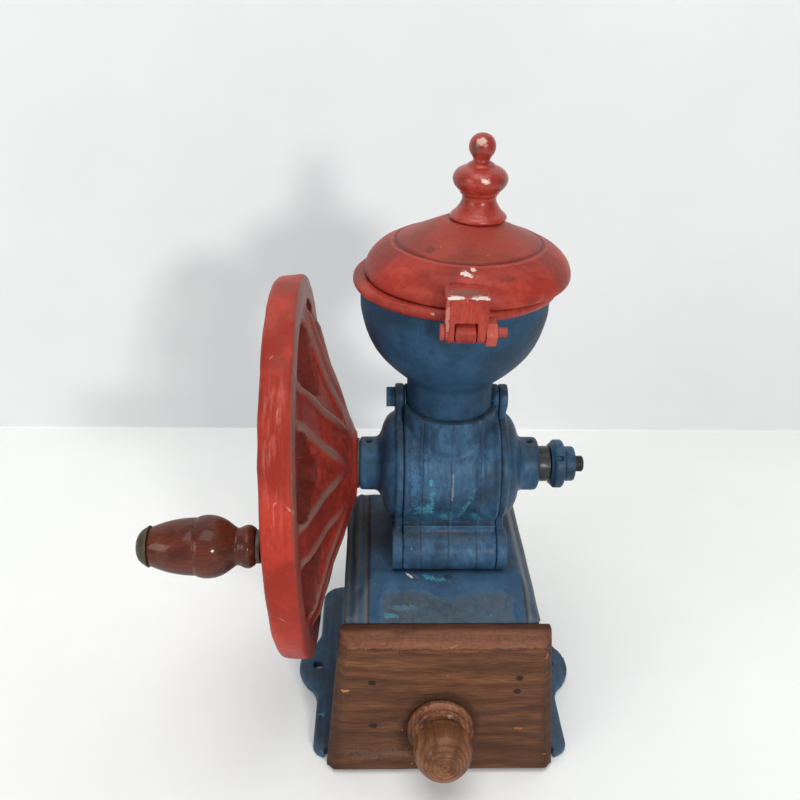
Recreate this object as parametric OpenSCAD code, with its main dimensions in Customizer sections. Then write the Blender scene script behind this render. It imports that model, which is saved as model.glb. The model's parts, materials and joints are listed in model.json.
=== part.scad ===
// Hand crank flywheel coffee mill, upright, all sizes in millimetres.
// Origin: centre of the base's underside. +Z up, -Y the drawer side, -X the wheel side.

/* [Placement] */
// height of the drive shaft above the table
shaft_z = 168; // [150:0.5:190]
// shaft line behind the base's centre
shaft_y = 14; // [8:0.5:20]
// grinding chamber offset from the base's centre, towards the adjusting screw
body_x = 3.5; // [0:0.5:8]
// sideways shift of the hopper seat from the chamber's middle
hopper_shift = -1.6; // [-3:0.1:3]
// height of the hopper seat above the shaft
seat_rise = 45; // [43:0.5:48]

/* [Base casting] */
// half width of the foot flange
flange_x = 82; // [80:0.5:86]
// half length of the foot flange
flange_y = 83; // [82:0.5:88]
// thickness of the foot flange
flange_t = 6; // [5:0.5:8]
// corner radius of the foot flange
flange_r = 14; // [8:1:20]
// radius of the side foot lugs
ear_r = 26; // [22:0.5:28]
// reach of the side foot lugs from the centre
ear_reach = 96; // [94:0.5:100]
// radius of a foot screw hole
foot_hole_r = 3.6; // [2.5:0.1:4.5]
// foot screw holes from the centre
foot_hole_x = 82; // [78:0.5:86]
// half width of the housing at the table
foot_x = 66; // [64:0.5:70]
// front of the housing at the table, from the shaft line
foot_front = 90; // [86:0.5:93]
// back of the housing at the table, from the shaft line
foot_back = 65; // [63:0.5:67]
// height of the eave, where the walls meet the roof
eave_z = 98; // [94:0.5:102]
// left eave from the chamber's middle
eave_left = 64; // [60:0.5:66]
// right eave from the chamber's middle
eave_right = 53.5; // [52:0.5:58]
// front eave from the shaft line
eave_front = 70; // [66:0.5:74]
// back eave from the shaft line
eave_back = 63; // [60:0.5:65]
// height of the platform
deck_z = 111; // [107:0.5:115]
// left edge of the platform from the chamber's middle
deck_left = 49; // [46:0.5:54]
// right edge of the platform from the chamber's middle
deck_right = 45.5; // [44:0.5:50]
// front edge of the platform from the shaft line
deck_front = 35.5; // [35:0.5:40]
// back edge of the platform from the shaft line
deck_back = 47; // [45:0.5:50]
// thickness of the walls and the roof
wall = 5; // [4:0.5:6]
// radius of the edge beads
bead_r = 3; // [2:0.1:4]
// place of the inner bead on the left slope, from the eave
bead_in = 8; // [7:0.5:9]
// height of the front shelf's border
border_t = 1.8; // [1:0.1:2.4]
// depth of that border before its dip
border_d = 12; // [9:0.5:14]
// extra depth of the border in its middle
border_dip = 6; // [3:0.5:8]
// width of the bare field inside the border
field_w = 82; // [70:1:86]
// radius of the hole that lets the grounds fall
drop_r = 19; // [17:0.5:20]

/* [Drawer] */
// middle of the drawer, from the base's centre
box_mid = 0; // [2:0.5:6]
// half width of the drawer box
box_x = 48; // [42:0.5:48]
// underside of the drawer box above the table
box_z0 = 9; // [8:0.5:12]
// top of the drawer box
box_z1 = 84; // [70:0.5:86]
// back of the drawer box, from the shaft line
box_back = 48; // [30:0.5:50]
// thickness of the drawer's sides
side_t = 7; // [6:0.5:9]
// thickness of the drawer's bottom
bottom_t = 5; // [4:0.5:6]
// depth of the grooves that hold the bottom
groove_d = 3; // [2:0.25:4]
// thickness of the drawer's front board
board_t = 11; // [10:0.5:14]
// top of the front board
board_top = 98; // [94:0.5:98]
// underside of the front board
board_z0 = 2; // [1.5:0.5:4]
// left edge of the board's top from the base's centre
board_top_left = 64; // [62:0.5:66]
// right edge of the board's top from the base's centre
board_top_right = 64.5; // [62:0.5:67]
// left edge of the board's foot from the base's centre
board_foot_left = 73; // [70:0.5:75]
// right edge of the board's foot from the base's centre
board_foot_right = 70.5; // [67:0.5:71]
// chamfer round the front board
board_bevel = 5.5; // [3:0.5:8]
// chamfer at the front board's foot
board_foot_edge = 1.5; // [1:0.5:5]
// radius of the knob's collar
knob_collar_r = 20.5; // [18:0.5:22]
// radius of the knob's body
knob_r = 17.8; // [15:0.1:18.5]
// length of the knob
knob_len = 37; // [34:0.5:40]
// knob beside the board's middle
knob_x = -2; // [-4:0.5:4]
// height of the knob on the board
knob_z = 35; // [32:0.5:44]
// radius of the knob's screw
knob_screw_r = 2.5; // [2:0.1:3]
// radius of a nail
nail_r = 1.1; // [0.8:0.1:1.5]
// notch in the foot flange beside the board
board_gap = 1.5; // [1:0.5:3]
// clearance between the drawer and the housing
slide_gap = 0.5; // [0.3:0.1:0.8]

/* [Grinding chamber] */
// radius of the chamber casing
case_r = 37; // [35:0.5:39]
// half length of the chamber casing
case_half = 29.3; // [28:0.1:31]
// radius of the chamber's bore
chamber_r = 30; // [28:0.5:31]
// start of the slot that lets the grounds fall, from the middle
outlet_x = 23.2; // [22.8:0.1:24]
// height of the casing's ridges
ridge_h = 1; // [0.5:0.1:1.6]
// radius of the collar under the hopper
collar_r = 29.5; // [28:0.5:31]
// radius of the tie-rod barrels
barrel_r = 13; // [11:0.5:14]
// tie-rod barrels before and behind the shaft
barrel_y = 31; // [28:0.5:33]
// radius of a tie rod
rod_r = 4; // [3:0.1:5]
// radius of a screw that holds the chamber on the platform
deck_screw_r = 2.5; // [2:0.1:3]
// those screws, left and right of the chamber's middle
deck_screw_x = 24; // [22:0.5:25]
// those screws, before and behind the shaft
deck_screw_y = 26; // [24:0.5:28]
// flange radius of an end plate
plate_r = 35.5; // [34:0.5:37]
// flange thickness of an end plate
plate_t = 4.7; // [4:0.1:6]
// outer end of a tie-rod barrel from the middle
barrel_end = 36; // [35:0.5:38]
// start of the bearing boss from the middle
boss_in = 45; // [43:0.5:47]
// outer end of the bearing boss from the middle
boss_out = 56.5; // [54:0.5:59]
// radius of a bearing boss
boss_r = 17; // [15:0.5:18]
// radius of an oil hole
oil_r = 2; // [1:0.1:3]
// radius of the top lugs
lug_r = 8.5; // [7:0.5:10]
// height of the top lugs above the shaft
lug_z = 46; // [44:0.5:48]
// radius of a top lug's screw
lug_screw_r = 3; // [2.5:0.1:3.5]
// clearance between the hopper's neck and the top lugs
neck_gap = 0.3; // [0.1:0.1:0.8]
// top lugs behind the shaft
lug_y = 4; // [0:0.5:8]

/* [Shaft and burrs] */
// radius of the drive shaft
shaft_r = 9; // [8:0.5:10]
// width of the key in the hub
key_w = 4; // [3:0.1:5]
// length of that key
key_l = 20; // [12:1:23]
// radial running clearance
run_gap = 0.06; // [0.02:0.01:0.1]
// left end of the drive shaft from the middle
shaft_left = 96; // [94:0.5:100]
// right end of the drive shaft from the middle
shaft_right = 35.5; // [34:0.5:37]
// radius of the inner burr's feed end
feed_r = 15; // [13:0.5:17]
// large radius of the inner burr
burr_r = 22; // [20:0.5:24]
// gap between the burrs at the fine end
burr_gap = 0.5; // [0.3:0.1:1.5]
// grooves round each burr
burr_grooves = 12; // [8:1:16]

/* [Flywheel] */
// radius of the flywheel
wheel_r = 120; // [110:1:130]
// inner radius of the rim
rim_in = 105; // [100:1:110]
// outer side of the rim from the middle
rim_out_x = 105; // [100:0.5:110]
// inner side of the rim from the middle
rim_in_x = 87; // [84:0.5:92]
// web radius where the windows start
web_r = 65; // [60:1:70]
// inboard face of the web there, from the middle
web_x = 76; // [74:0.5:80]
// web thickness
web_t = 8; // [6:0.5:10]
// radius of the hub at its inboard face
hub_r = 21; // [18:0.5:24]
// length of the hub
hub_len = 28; // [26:0.5:34]
// gap left for the hub washer
washer_t = 1.6; // [1:0.1:3]
// number of windows
windows = 8; // [6:1:8]
// how far the rim stands out of square with the shaft, in degrees, as cast
wheel_lean = 1.7; // [0:0.1:2]
// angle of the spoke that holds the crank, from the front, in degrees
crank_angle = 5.5; // [0:0.5:20]
// width of a spoke where it meets the rim
spoke_w = 27; // [20:1:32]
// corner radius of a window
window_r = 6; // [4:0.5:8]

/* [Crank grip] */
// radius of the crank circle
crank_r = 97.7; // [90:0.1:100]
// radius of the steel spindle
spindle_r = 4.5; // [3.5:0.1:6]
// inner end of the grip from the chamber's middle
grip_x0 = 109.8; // [109:0.1:112]
// largest radius of the grip
grip_r = 16.8; // [15:0.1:18]
// length of the wooden grip
grip_len = 56; // [50:0.5:62]
// depth of the end cap
cap_len = 7.5; // [5:0.5:9]

/* [Adjusting screw] */
// radius of the adjusting screw
adj_r = 11.4; // [10:0.1:12]
// outer end of the screw's collar from the middle
adj_out = 64.6; // [64:0.1:70]
// radius of the lock ring
ring_r = 15.5; // [14:0.1:17]
// thickness of the lock ring
ring_t = 8.4; // [8:0.1:11]
// radius of the round nut outside the ring
nut_r = 11.2; // [10:0.1:12]
// thickness of the round nut
nut_t = 7; // [6:0.1:9]
// radius of the threaded end
stud_r = 5.3; // [4:0.1:6]
// length of the threaded end beyond the nut
stud_end = 6.2; // [4:0.1:8]

/* [Hopper and lid] */
// outer radius of the hopper's neck
neck_r = 26; // [24:0.5:27]
// wall of the hopper
cup_wall = 4; // [3:0.25:5]
// outer radius of the hopper below its lip
cup_r = 54.3; // [52:0.1:58]
// radius of the hopper's lip
lip_r = 58.9; // [57:0.1:61]
// height of the lip's top above the seat
lip_z = 83.5; // [80:0.5:86]
// radius of the lid's edge
lid_r = 58.2; // [56:0.1:60]
// rise of the flat top of the lid above its edge
lid_rise = 31.4; // [30:0.1:33]
// sideways shift of the finial from the lid's middle
finial_shift = 4.3; // [0:0.1:5]
// sideways shift of the lid on its hinge
lid_shift = 6.3; // [0:0.1:7]
// height of the lid's edge above the lip
lid_gap = 0.4; // [0.3:0.1:1]
// inset of the ring groove on the lid from its edge
groove_in = 17.2; // [15:0.1:20]
// sideways shift of the hinge from the hopper's middle
hinge_shift = -0.3; // [-3:0.1:3]
// top face of the hinge bracket above the lid's edge
hinge_top = 12.6; // [11:0.1:14]
// hinge pin before the hopper's axis
pin_y = 65; // [64:0.5:67]
// hinge pin above the seat
pin_z = 75.5; // [74:0.5:77]
// radius of the hinge pin
pin_r = 2.6; // [2:0.1:3]
// half width of the hinge lug
hinge_lug = 5.5; // [4.5:0.1:6.5]
// thickness of a hinge ear
ear_t = 4.6; // [3.5:0.1:6]

/* [Hidden] */
eps = 0.01;
iron_blue = [0.10, 0.20, 0.34];
iron_red = [0.50, 0.12, 0.09];
steel = [0.30, 0.30, 0.31];
wood_dark = [0.25, 0.14, 0.09];
wood_red = [0.28, 0.09, 0.06];
bronze = [0.26, 0.25, 0.18];

// derived places
deck_x0 = body_x - deck_left;
deck_x1 = body_x + deck_right;
deck_y0 = shaft_y - deck_front;
deck_y1 = shaft_y + deck_back;
eave_x0 = body_x - eave_left;
eave_x1 = body_x + eave_right;
eave_y0 = shaft_y - eave_front;
eave_y1 = shaft_y + eave_back;
foot_y0 = shaft_y - foot_front;
foot_y1 = shaft_y + foot_back;
drawer_y1 = shaft_y + box_back;
slope = (eave_y0 - foot_y0) / eave_z;
tilt = atan(slope);
shelf_a = atan((deck_z - eave_z) / (deck_y0 - eave_y0));
shelf_l = norm([deck_z - eave_z, deck_y0 - eave_y0]);
drop = shaft_z - deck_z;
barrel_z = barrel_r - drop;
plate_x = case_half + plate_t;
hub_x = boss_out + washer_t;
ring_x = adj_out + 0.4;
nut_x = ring_x + ring_t + 0.3;
stud_x = nut_x + nut_t + stud_end;
lid_z = lip_z + lid_gap;
crank_y = -crank_r * cos(crank_angle);
crank_z = crank_r * sin(crank_angle);
seat_d = neck_r - 2;
throat_r = 18.5;
groove_r = lid_r - groove_in;
key_half = 7.8;
// y of the bracket's cross pin, just inside the lid's wall, and of the bracket's plate end
key_y = sqrt(pow(lid_r - 10.4757, 2) - pow(key_half + lid_shift - hinge_shift, 2));
plate_end = lid_r - 4.7;

// y of the housing's leaning front face at height z
function front_y(z) = foot_y0 + slope * z;

// children built round +Z are laid on the shaft line, +Z becoming +X
module on_shaft() {
  translate([body_x, shaft_y, shaft_z]) rotate([0, 90, 0]) children();
}

// children in the chamber's frame, unturned
module at_chamber() {
  translate([body_x, shaft_y, shaft_z]) children();
}

// children in the hopper's frame, z = 0 on the seat
module in_hopper() {
  translate([body_x + hopper_shift, shaft_y, shaft_z + seat_rise]) children();
}

// a round bar along X from x0 to x1 at y, z
module x_bar(x0, x1, y, z, r) {
  translate([x0, y, z]) rotate([0, 90, 0]) cylinder(h = x1 - x0, r = r, $fn = 64);
}

// a hexagon prism along +Z, by its width across flats
module hex(af, h) {
  cylinder(h = h, r = af / 2 / cos(30), $fn = 6);
}

// a thin level slab with corners at x0, y0 and x1, y1 and its top at z
module slab(x0, x1, y0, y1, z) {
  translate([x0, y0, z - eps]) cube([x1 - x0, y1 - y0, eps]);
}

// the housing's solid, walls up to the eave and a low roof on them, shrunk inwards by g
module housing(g) {
  hull() {
    slab(-foot_x + g, foot_x - g, foot_y0 + g, foot_y1 - g, 0);
    slab(eave_x0 + g, eave_x1 - g, eave_y0 + g, eave_y1 - g, eave_z - g / 2);
  }
  hull() {
    slab(eave_x0 + g, eave_x1 - g, eave_y0 + g, eave_y1 - g, eave_z - g / 2);
    slab(deck_x0 + g, deck_x1 - g, deck_y0 + g, deck_y1 - g, deck_z - g);
  }
}

// outline of the foot flange
module flange_outline() {
  hull() {
    for (x = [-1, 1]) for (y = [-1, 1])
      translate([x * (flange_x - flange_r), y * (flange_y - flange_r)])
        circle(r = flange_r, $fn = 48);
  }
  for (s = [-1, 1]) {
    translate([s * (ear_reach - ear_r), 0]) circle(r = ear_r, $fn = 96);
    for (t = [-1, 1]) scale([s, t]) ear_fillet();
  }
}

// hollow fillet between a foot lug and the flange's side
module ear_fillet() {
  f = 20;
  cx = ear_reach - ear_r;
  dx = flange_x + f - cx;
  dy = sqrt((ear_r + f) * (ear_r + f) - dx * dx);
  k = ear_r / (ear_r + f);
  difference() {
    polygon([[flange_x - 8, 0], [cx + dx * k, 0], [cx + dx * k, dy * k],
      [flange_x, dy], [flange_x - 8, dy]]);
    translate([cx + dx, dy]) circle(r = f, $fn = 96);
  }
}

// depth of the front border across the shelf: level, with a dip in the middle
function brace(x) = border_d + border_dip * pow(cos(min(90, abs(x) * 6)), 1.5);

// the bare field on the front shelf, x from its middle and y down the slope
module field() {
  w = field_w / 2;
  c = 7;
  n = 24;
  polygon(concat([[-w - 5, -shelf_l - 1], [-w, -border_d - c], [-w + c * 0.3, -border_d - c * 0.3],
    [-w + c, -border_d]],
    [for (i = [0 : n]) let (x = -16 + 32 * i / n) [x, -brace(x)]],
    [[w - c, -border_d], [w - c * 0.3, -border_d - c * 0.3], [w, -border_d - c],
    [w + 5, -shelf_l - 1]]));
}

// raised border of the front shelf
module front_border() {
  m = 0;
  translate([m, deck_y0, deck_z]) rotate([shelf_a, 0, 0]) translate([0, 0, -1])
    linear_extrude(border_t + 1) difference() {
      polygon([[deck_x0 - m + 1, -2], [deck_x1 - m - 1, -2],
        [eave_x1 - m - 3, -shelf_l + 1.5], [eave_x0 - m + 3, -shelf_l + 1.5]]);
      field();
    }
}

// twelve-sided bead along Y from y0 to y1 at x, z
module bead(x, z, y0, y1) {
  translate([x, y0, z]) rotate([-90, 0, 0]) cylinder(h = y1 - y0, r = bead_r, $fn = 12);
}

// runners and guides that the drawer slides on
module drawer_runners() {
  y0 = front_y(box_z0) + 2;
  l = foot_y1 - wall + 1 - y0;
  x = box_mid + box_x;
  for (s = [-1, 1]) {
    translate([box_mid + s * (box_x - 2) - 8, y0, flange_t - 2])
      cube([16, l, box_z0 - slide_gap - flange_t + 2]);
    translate([box_mid + s * (box_x + slide_gap + 1.5) - 1.5, y0, flange_t - 2])
      cube([3, l, box_z0 + 8 - flange_t]);
  }
}

module base_casting() {
  rise = (deck_z - eave_z) / (deck_x0 - eave_x0);
  color(iron_blue) difference() {
    union() {
      linear_extrude(flange_t) flange_outline();
      difference() {
        union() {
          housing(0);
          front_border();
          bead(eave_x0 + 1, eave_z - 0.5, eave_y0 + 1, eave_y1 - 1);
          bead(eave_x1 - 1, eave_z - 0.5, eave_y0 + 1, eave_y1 - 1);
          bead(eave_x0 + bead_in, eave_z + rise * bead_in - 1, deck_y0 - 10, eave_y1 - 9);
        }
        intersection() {
          housing(wall);
          translate([-100, -100, flange_t - 2]) cube([200, 200, 200]);
        }
        translate([box_mid - box_x - 1.6, -100, flange_t - 2])
          cube([2 * box_x + 3.2, 80, box_z1 + slide_gap + 3.6 - flange_t]);
      }
      drawer_runners();
    }
    translate([-board_foot_left - board_gap, foot_y0 - 40, -1])
      cube([board_foot_left + board_foot_right + 2 * board_gap, 40 + slope * flange_t,
        flange_t + 2]);
    for (s = [-1, 1]) translate([s * foot_hole_x, 0, -1])
      cylinder(h = flange_t + 2, r = foot_hole_r, $fn = 48);
    translate([body_x, shaft_y, deck_z - wall - 1])
      cylinder(h = wall + 3, r = drop_r, $fn = 96);
    deck_holes(-drop - wall - 1, wall + 3, deck_screw_r + 0.2);
  }
}

// upright holes or shanks at the four deck screws, in the part's frame
module deck_holes(z, h, r) {
  at_chamber() for (x = [-1, 1]) for (y = [-1, 1])
    translate([deck_screw_x * x, deck_screw_y * y, z]) cylinder(h = h, r = r, $fn = 32);
}

module drawer_side(x) {
  translate([x, 0, 0]) rotate([90, 0, 90]) linear_extrude(side_t)
    polygon([[front_y(box_z0) - slide_gap, box_z0], [drawer_y1, box_z0],
      [drawer_y1, box_z1], [front_y(box_z1) - slide_gap, box_z1]]);
}

// groove for the drawer's bottom, between x0 and x1
module bottom_groove(x0, x1) {
  translate([x0, -100, box_z0 + 4]) cube([x1 - x0, 100 + drawer_y1 - side_t + groove_d, bottom_t]);
}

module drawer_left_side() {
  x = box_mid - box_x;
  color(wood_dark) difference() {
    drawer_side(x);
    bottom_groove(x + side_t - groove_d, x + side_t + 1);
    nails(nail_r);
  }
}

module drawer_right_side() {
  x = box_mid + box_x;
  color(wood_dark) difference() {
    drawer_side(x - side_t);
    bottom_groove(x - side_t - 1, x - side_t + groove_d);
    nails(nail_r);
  }
}

module drawer_back() {
  x = box_x - side_t;
  color(wood_dark) difference() {
    translate([box_mid - x, drawer_y1 - side_t, box_z0])
      cube([2 * x, side_t, box_z1 - box_z0]);
    bottom_groove(box_mid - box_x, box_mid + box_x);
  }
}

module drawer_bottom() {
  x = box_x - side_t + groove_d;
  z0 = box_z0 + 4;
  z1 = z0 + bottom_t;
  y1 = drawer_y1 - side_t + groove_d;
  color(wood_dark) translate([box_mid - x, 0, 0]) rotate([90, 0, 90]) linear_extrude(2 * x)
    polygon([[front_y(z0) - slide_gap, z0], [y1, z0], [y1, z1],
      [front_y(z1) - slide_gap, z1]]);
}

module drawer_front() {
  z0 = board_z0;
  z1 = board_top;
  v = board_bevel;
  m = board_t - v;
  k0 = front_y(z0) - slide_gap;
  k1 = front_y(z1) - slide_gap;
  a = -board_foot_left;
  b = board_foot_right;
  c = board_top_right;
  d = -board_top_left;
  u = board_foot_edge;
  y0 = k0 + slope * u - board_t;
  y1 = k1 - slope * v - board_t;
  pts = [[a, k0, z0], [b, k0, z0], [c, k1, z1], [d, k1, z1],
    [a, k0 - m, z0], [b, k0 - m, z0], [c, k1 - m, z1], [d, k1 - m, z1],
    [a + v, y0, z0 + u], [b - v, y0, z0 + u], [c - v, y1, z1 - v], [d + v, y1, z1 - v]];
  color(wood_dark) difference() {
    polyhedron(points = pts, faces = [[0, 3, 2, 1], [0, 1, 5, 4], [1, 2, 6, 5],
      [2, 3, 7, 6], [3, 0, 4, 7], [4, 5, 9, 8], [5, 6, 10], [5, 10, 9], [6, 7, 11, 10],
      [7, 4, 8], [7, 8, 11], [8, 9, 10, 11]], convexity = 2);
    on_board() translate([0, 0, -30]) cylinder(h = 60, r = knob_screw_r, $fn = 32);
    nails(nail_r);
  }
}

// children on the board's face at the knob, +Z out of the face
module on_board() {
  translate([knob_x, front_y(knob_z) - slide_gap - board_t, knob_z])
    rotate([90 - tilt, 0, 0]) children();
}

module drawer_knob() {
  c = knob_collar_r;
  r = knob_r;
  l = knob_len;
  color(wood_red) on_board() difference() {
    rotate_extrude($fn = 96) polygon([[0, 0], [c - 1, 0], [c, 1.5], [c, 4.5], [c - 1, 6.5],
      [c - 3, 8], [r - 3, 9.5], [r - 3.5, 11], [r - 2.5, 13], [r - 0.5, 16], [r, 19.5],
      [r - 0.2, 24], [r - 1.6, 29], [r - 4.5, 33.5], [r - 7.5, l - 1.5], [r - 8.6, l - 0.4],
      [r - 9.4, l], [4, l], [4, l - 0.8], [0, l - 0.8]]);
    translate([0, 0, -1]) cylinder(h = 21, r = knob_screw_r, $fn = 32);
  }
}

module knob_screw() {
  d = board_t * cos(tilt);
  color(steel) on_board() union() {
    translate([0, 0, -d - 2.2]) cylinder(h = d + 21.5, r = knob_screw_r - 0.02, $fn = 32);
    translate([0, 0, -d - 2.6]) cylinder(h = 2.4, r = 2 * knob_screw_r, $fn = 48);
  }
}

// x and z of the drawer's visible nails
nail_at = [[-44.5, 66], [-43.5, 36], [45.5, 69], [44.5, 60], [45, 33]];

// the nails, or their holes, driven through the board into the drawer's sides
module nails(r) {
  for (p = nail_at)
    translate([p[0], front_y(p[1]) - slide_gap - board_t, p[1]])
      rotate([-90, 0, 0]) translate([0, 0, 0.4]) cylinder(h = 26, r = r, $fn = 24);
}

module drawer_nails() {
  color(steel) nails(nail_r - 0.02);
}

// tie-rod barrels, before and behind, from x0 to x1 of the chamber's middle
module barrels(x0, x1) {
  for (s = [-1, 1]) x_bar(x0, x1, s * barrel_y, barrel_z, barrel_r);
}

// bores for the tie rods
module barrel_bores() {
  for (s = [-1, 1]) x_bar(-60, 60, s * barrel_y, barrel_z, rod_r);
}

module chamber_casing() {
  c = case_half;
  r = case_r;
  h = ridge_h;
  foot = -drop;
  color(iron_blue) difference() {
    union() {
      on_shaft() rotate_extrude($fn = 128) polygon([[0, -c], [r + h, -c], [r + h, -c + 2.6],
        [r, -c + 3.4], [r, -19.5], [r + h, -18.6], [r + h, -15.6], [r, -14.7], [r, 14.7],
        [r + h, 15.6], [r + h, 18.6], [r, 19.5], [r, c - 3.4], [r + h, c - 2.6],
        [r + h, c], [0, c]]);
      intersection() {
        in_hopper() translate([0, 0, -30]) cylinder(h = 30, r = collar_r, $fn = 128);
        at_chamber() translate([-c, -60, -10]) cube([2 * c, 120, 80]);
      }
      at_chamber() {
        barrels(-c, c);
        translate([-c, -barrel_y, foot]) cube([2 * c, 2 * barrel_y, 30]);
        x_bar(-c, -c + 6, lug_y, lug_z, lug_r);
        x_bar(c - 6, c, lug_y, lug_z, lug_r);
        translate([-c, lug_y - lug_r, 20]) cube([6, 2 * lug_r, lug_z - 20]);
        translate([c - 6, lug_y - lug_r, 20]) cube([6, 2 * lug_r, lug_z - 20]);
      }
    }
    on_shaft() translate([0, 0, -c - 1]) cylinder(h = 2 * c + 2, r = chamber_r, $fn = 128);
    intersection() {
      in_hopper() translate([0, 0, -40]) cylinder(h = 50, r = throat_r, $fn = 96);
      at_chamber() translate([-40, -60, 0]) cube([41, 120, 80]);
    }
    in_hopper() translate([0, 0, -7]) cylinder(h = 20, r = seat_d - 3, $fn = 96);
    in_hopper() cylinder(h = 20, r = neck_r + neck_gap, $fn = 128);
    at_chamber() {
      barrel_bores();
      translate([-17, -17, foot - 1]) cube([42, 34, 12]);
      translate([outlet_x, -14, foot + 5]) cube([c - outlet_x - 1.2, 28, drop - chamber_r]);
      x_bar(-c - 1, -c + 6.1, lug_y, lug_z, lug_screw_r);
      x_bar(hopper_shift + neck_r - 1.2, c + 1, lug_y, lug_z, lug_screw_r);
    }
    deck_holes(foot - 1, 12, deck_screw_r);
  }
}

// profile of an end plate, radius against distance from the chamber's middle
plate_rim = [[0, case_half], [plate_r, case_half], [plate_r, plate_x],
  [plate_r - 2, plate_x + 0.2], [plate_r - 3, plate_x + 3], [plate_r - 5.5, plate_x + 5.5],
  [plate_r - 9.5, plate_x + 7.5], [boss_r + 4.5, boss_in - 2.2], [boss_r + 1.2, boss_in - 0.8],
  [boss_r, boss_in + 0.8], [boss_r, boss_out - 1], [boss_r - 1, boss_out], [0, boss_out]];

// one end plate, built for the right and mirrored for the left; b = bore through its boss
module end_plate(b) {
  difference() {
    union() {
      rotate([0, 90, 0]) rotate_extrude($fn = 128) polygon(plate_rim);
      for (s = [-1, 1]) {
        x_bar(case_half, barrel_end, s * barrel_y, barrel_z, barrel_r);
        translate([case_half, s * barrel_y * 0.62 - 9, barrel_z * 0.62 - 9])
          cube([plate_t, 18, 18]);
      }
      x_bar(case_half, case_half + plate_t + 0.8, lug_y, lug_z, lug_r);
      translate([case_half, lug_y - lug_r, 20]) cube([plate_t, 2 * lug_r, lug_z - 20]);
    }
    x_bar(case_half - 1, boss_out + 1, 0, 0, shaft_r + run_gap);
    if (b > 0) x_bar(shaft_right + 0.5, boss_out + 1, 0, 0, b);
    barrel_bores();
    x_bar(case_half - 1, case_half + plate_t + 2, lug_y, lug_z, lug_screw_r);
    translate([(boss_in + boss_out) / 2, 0, 0]) cylinder(h = 30, r = oil_r, $fn = 32);
  }
}

module left_end_plate() {
  color(iron_blue) at_chamber() mirror([1, 0, 0]) end_plate(0);
}

module right_end_plate() {
  color(iron_blue) at_chamber() end_plate(adj_r);
}

module tie_rod(s) {
  color(steel) at_chamber()
    x_bar(-barrel_end + 0.5, barrel_end - 0.5, s * barrel_y, barrel_z, rod_r - 0.02);
}

module front_tie_rod() {
  tie_rod(-1);
}

module rear_tie_rod() {
  tie_rod(1);
}

module left_lug_screw() {
  x = case_half + plate_t + 0.8;
  color(steel) at_chamber() union() {
    x_bar(-x - 0.1, hopper_shift - neck_r - 1.2, lug_y, lug_z, lug_screw_r - 0.05);
    translate([-x, lug_y, lug_z]) rotate([0, -90, 0]) hex(12, 5.2);
  }
}

module right_lug_stud() {
  color(steel) at_chamber() x_bar(hopper_shift + neck_r + 1.2, case_half + plate_t + 0.6,
    lug_y, lug_z, lug_screw_r - 0.05);
}

module deck_screws() {
  z = -drop - wall;
  color(steel) {
    deck_holes(z - 1, wall + 11, deck_screw_r - 0.02);
    at_chamber() for (x = [-1, 1]) for (y = [-1, 1])
      translate([deck_screw_x * x, deck_screw_y * y, z - 3.2]) hex(9, 3);
  }
}

// the key between shaft and hub, grown by g all round, in the shaft's frame
module key_bar(g) {
  w = key_w / 2 + g;
  z0 = -hub_x - hub_len + 3;
  translate([-shaft_r - 2.5 - g, -w, z0 - g]) cube([5.4 + 2 * g, 2 * w, key_l + 2 * g]);
}

module drive_shaft() {
  color(steel) on_shaft() difference() {
    rotate_extrude($fn = 96) polygon([[0, -shaft_left], [5.2, -shaft_left],
      [6, -shaft_left + 0.8], [6, -hub_x - hub_len + 2.5], [shaft_r, -hub_x - hub_len + 2.5],
      [shaft_r, shaft_right - 1], [shaft_r - 1, shaft_right], [0, shaft_right]]);
    key_bar(0.05);
  }
}

// the cutting cone with its feed worm's ribs
module inner_burr() {
  s = shaft_r + 0.02;
  r1 = burr_r;
  color(steel) on_shaft() difference() {
    union() {
      rotate_extrude($fn = 96) polygon([[s, -22], [feed_r - 2, -22], [feed_r - 1, 0],
        [feed_r + 1, 2], [r1, 21], [r1, 22.5], [s, 22.5]]);
      for (i = [0 : 3]) rotate([0, 0, i * 90]) translate([s + 1, -2, -22])
        cube([feed_r + 4 - s, 4, 22.5]);
    }
    for (i = [0 : burr_grooves - 1]) rotate([0, 0, i * 360 / burr_grooves])
      translate([feed_r + 3.4, 0, 3]) rotate([0, 15, 12])
        translate([0, -1, 0]) cube([3, 2, 30]);
  }
}

module outer_burr() {
  r1 = burr_r + burr_gap;
  color(steel) on_shaft() difference() {
    rotate_extrude($fn = 128) polygon([[chamber_r - 1.5, 3], [chamber_r, 3],
      [chamber_r, 22.5], [r1, 22.5], [r1, 20], [chamber_r - 2.5, 4]]);
    for (i = [0 : burr_grooves - 1]) rotate([0, 0, i * 360 / burr_grooves])
      translate([r1 - 0.4, -1, 2]) cube([2, 2, 30]);
  }
}

module hub_washer() {
  color(steel) on_shaft() translate([0, 0, -hub_x + 0.15]) difference() {
    cylinder(h = washer_t - 0.3, r = boss_r - 1, $fn = 96);
    translate([0, 0, -1]) cylinder(h = 5, r = shaft_r + 0.02, $fn = 96);
  }
}

// points of an arc round c, from angle a0 to a1 in n steps
function arc(c, r, a0, a1, n) = [for (i = [0 : n]) let (t = a0 + (a1 - a0) * i / n)
  [c[0] + r * cos(t), c[1] + r * sin(t)]];

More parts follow.
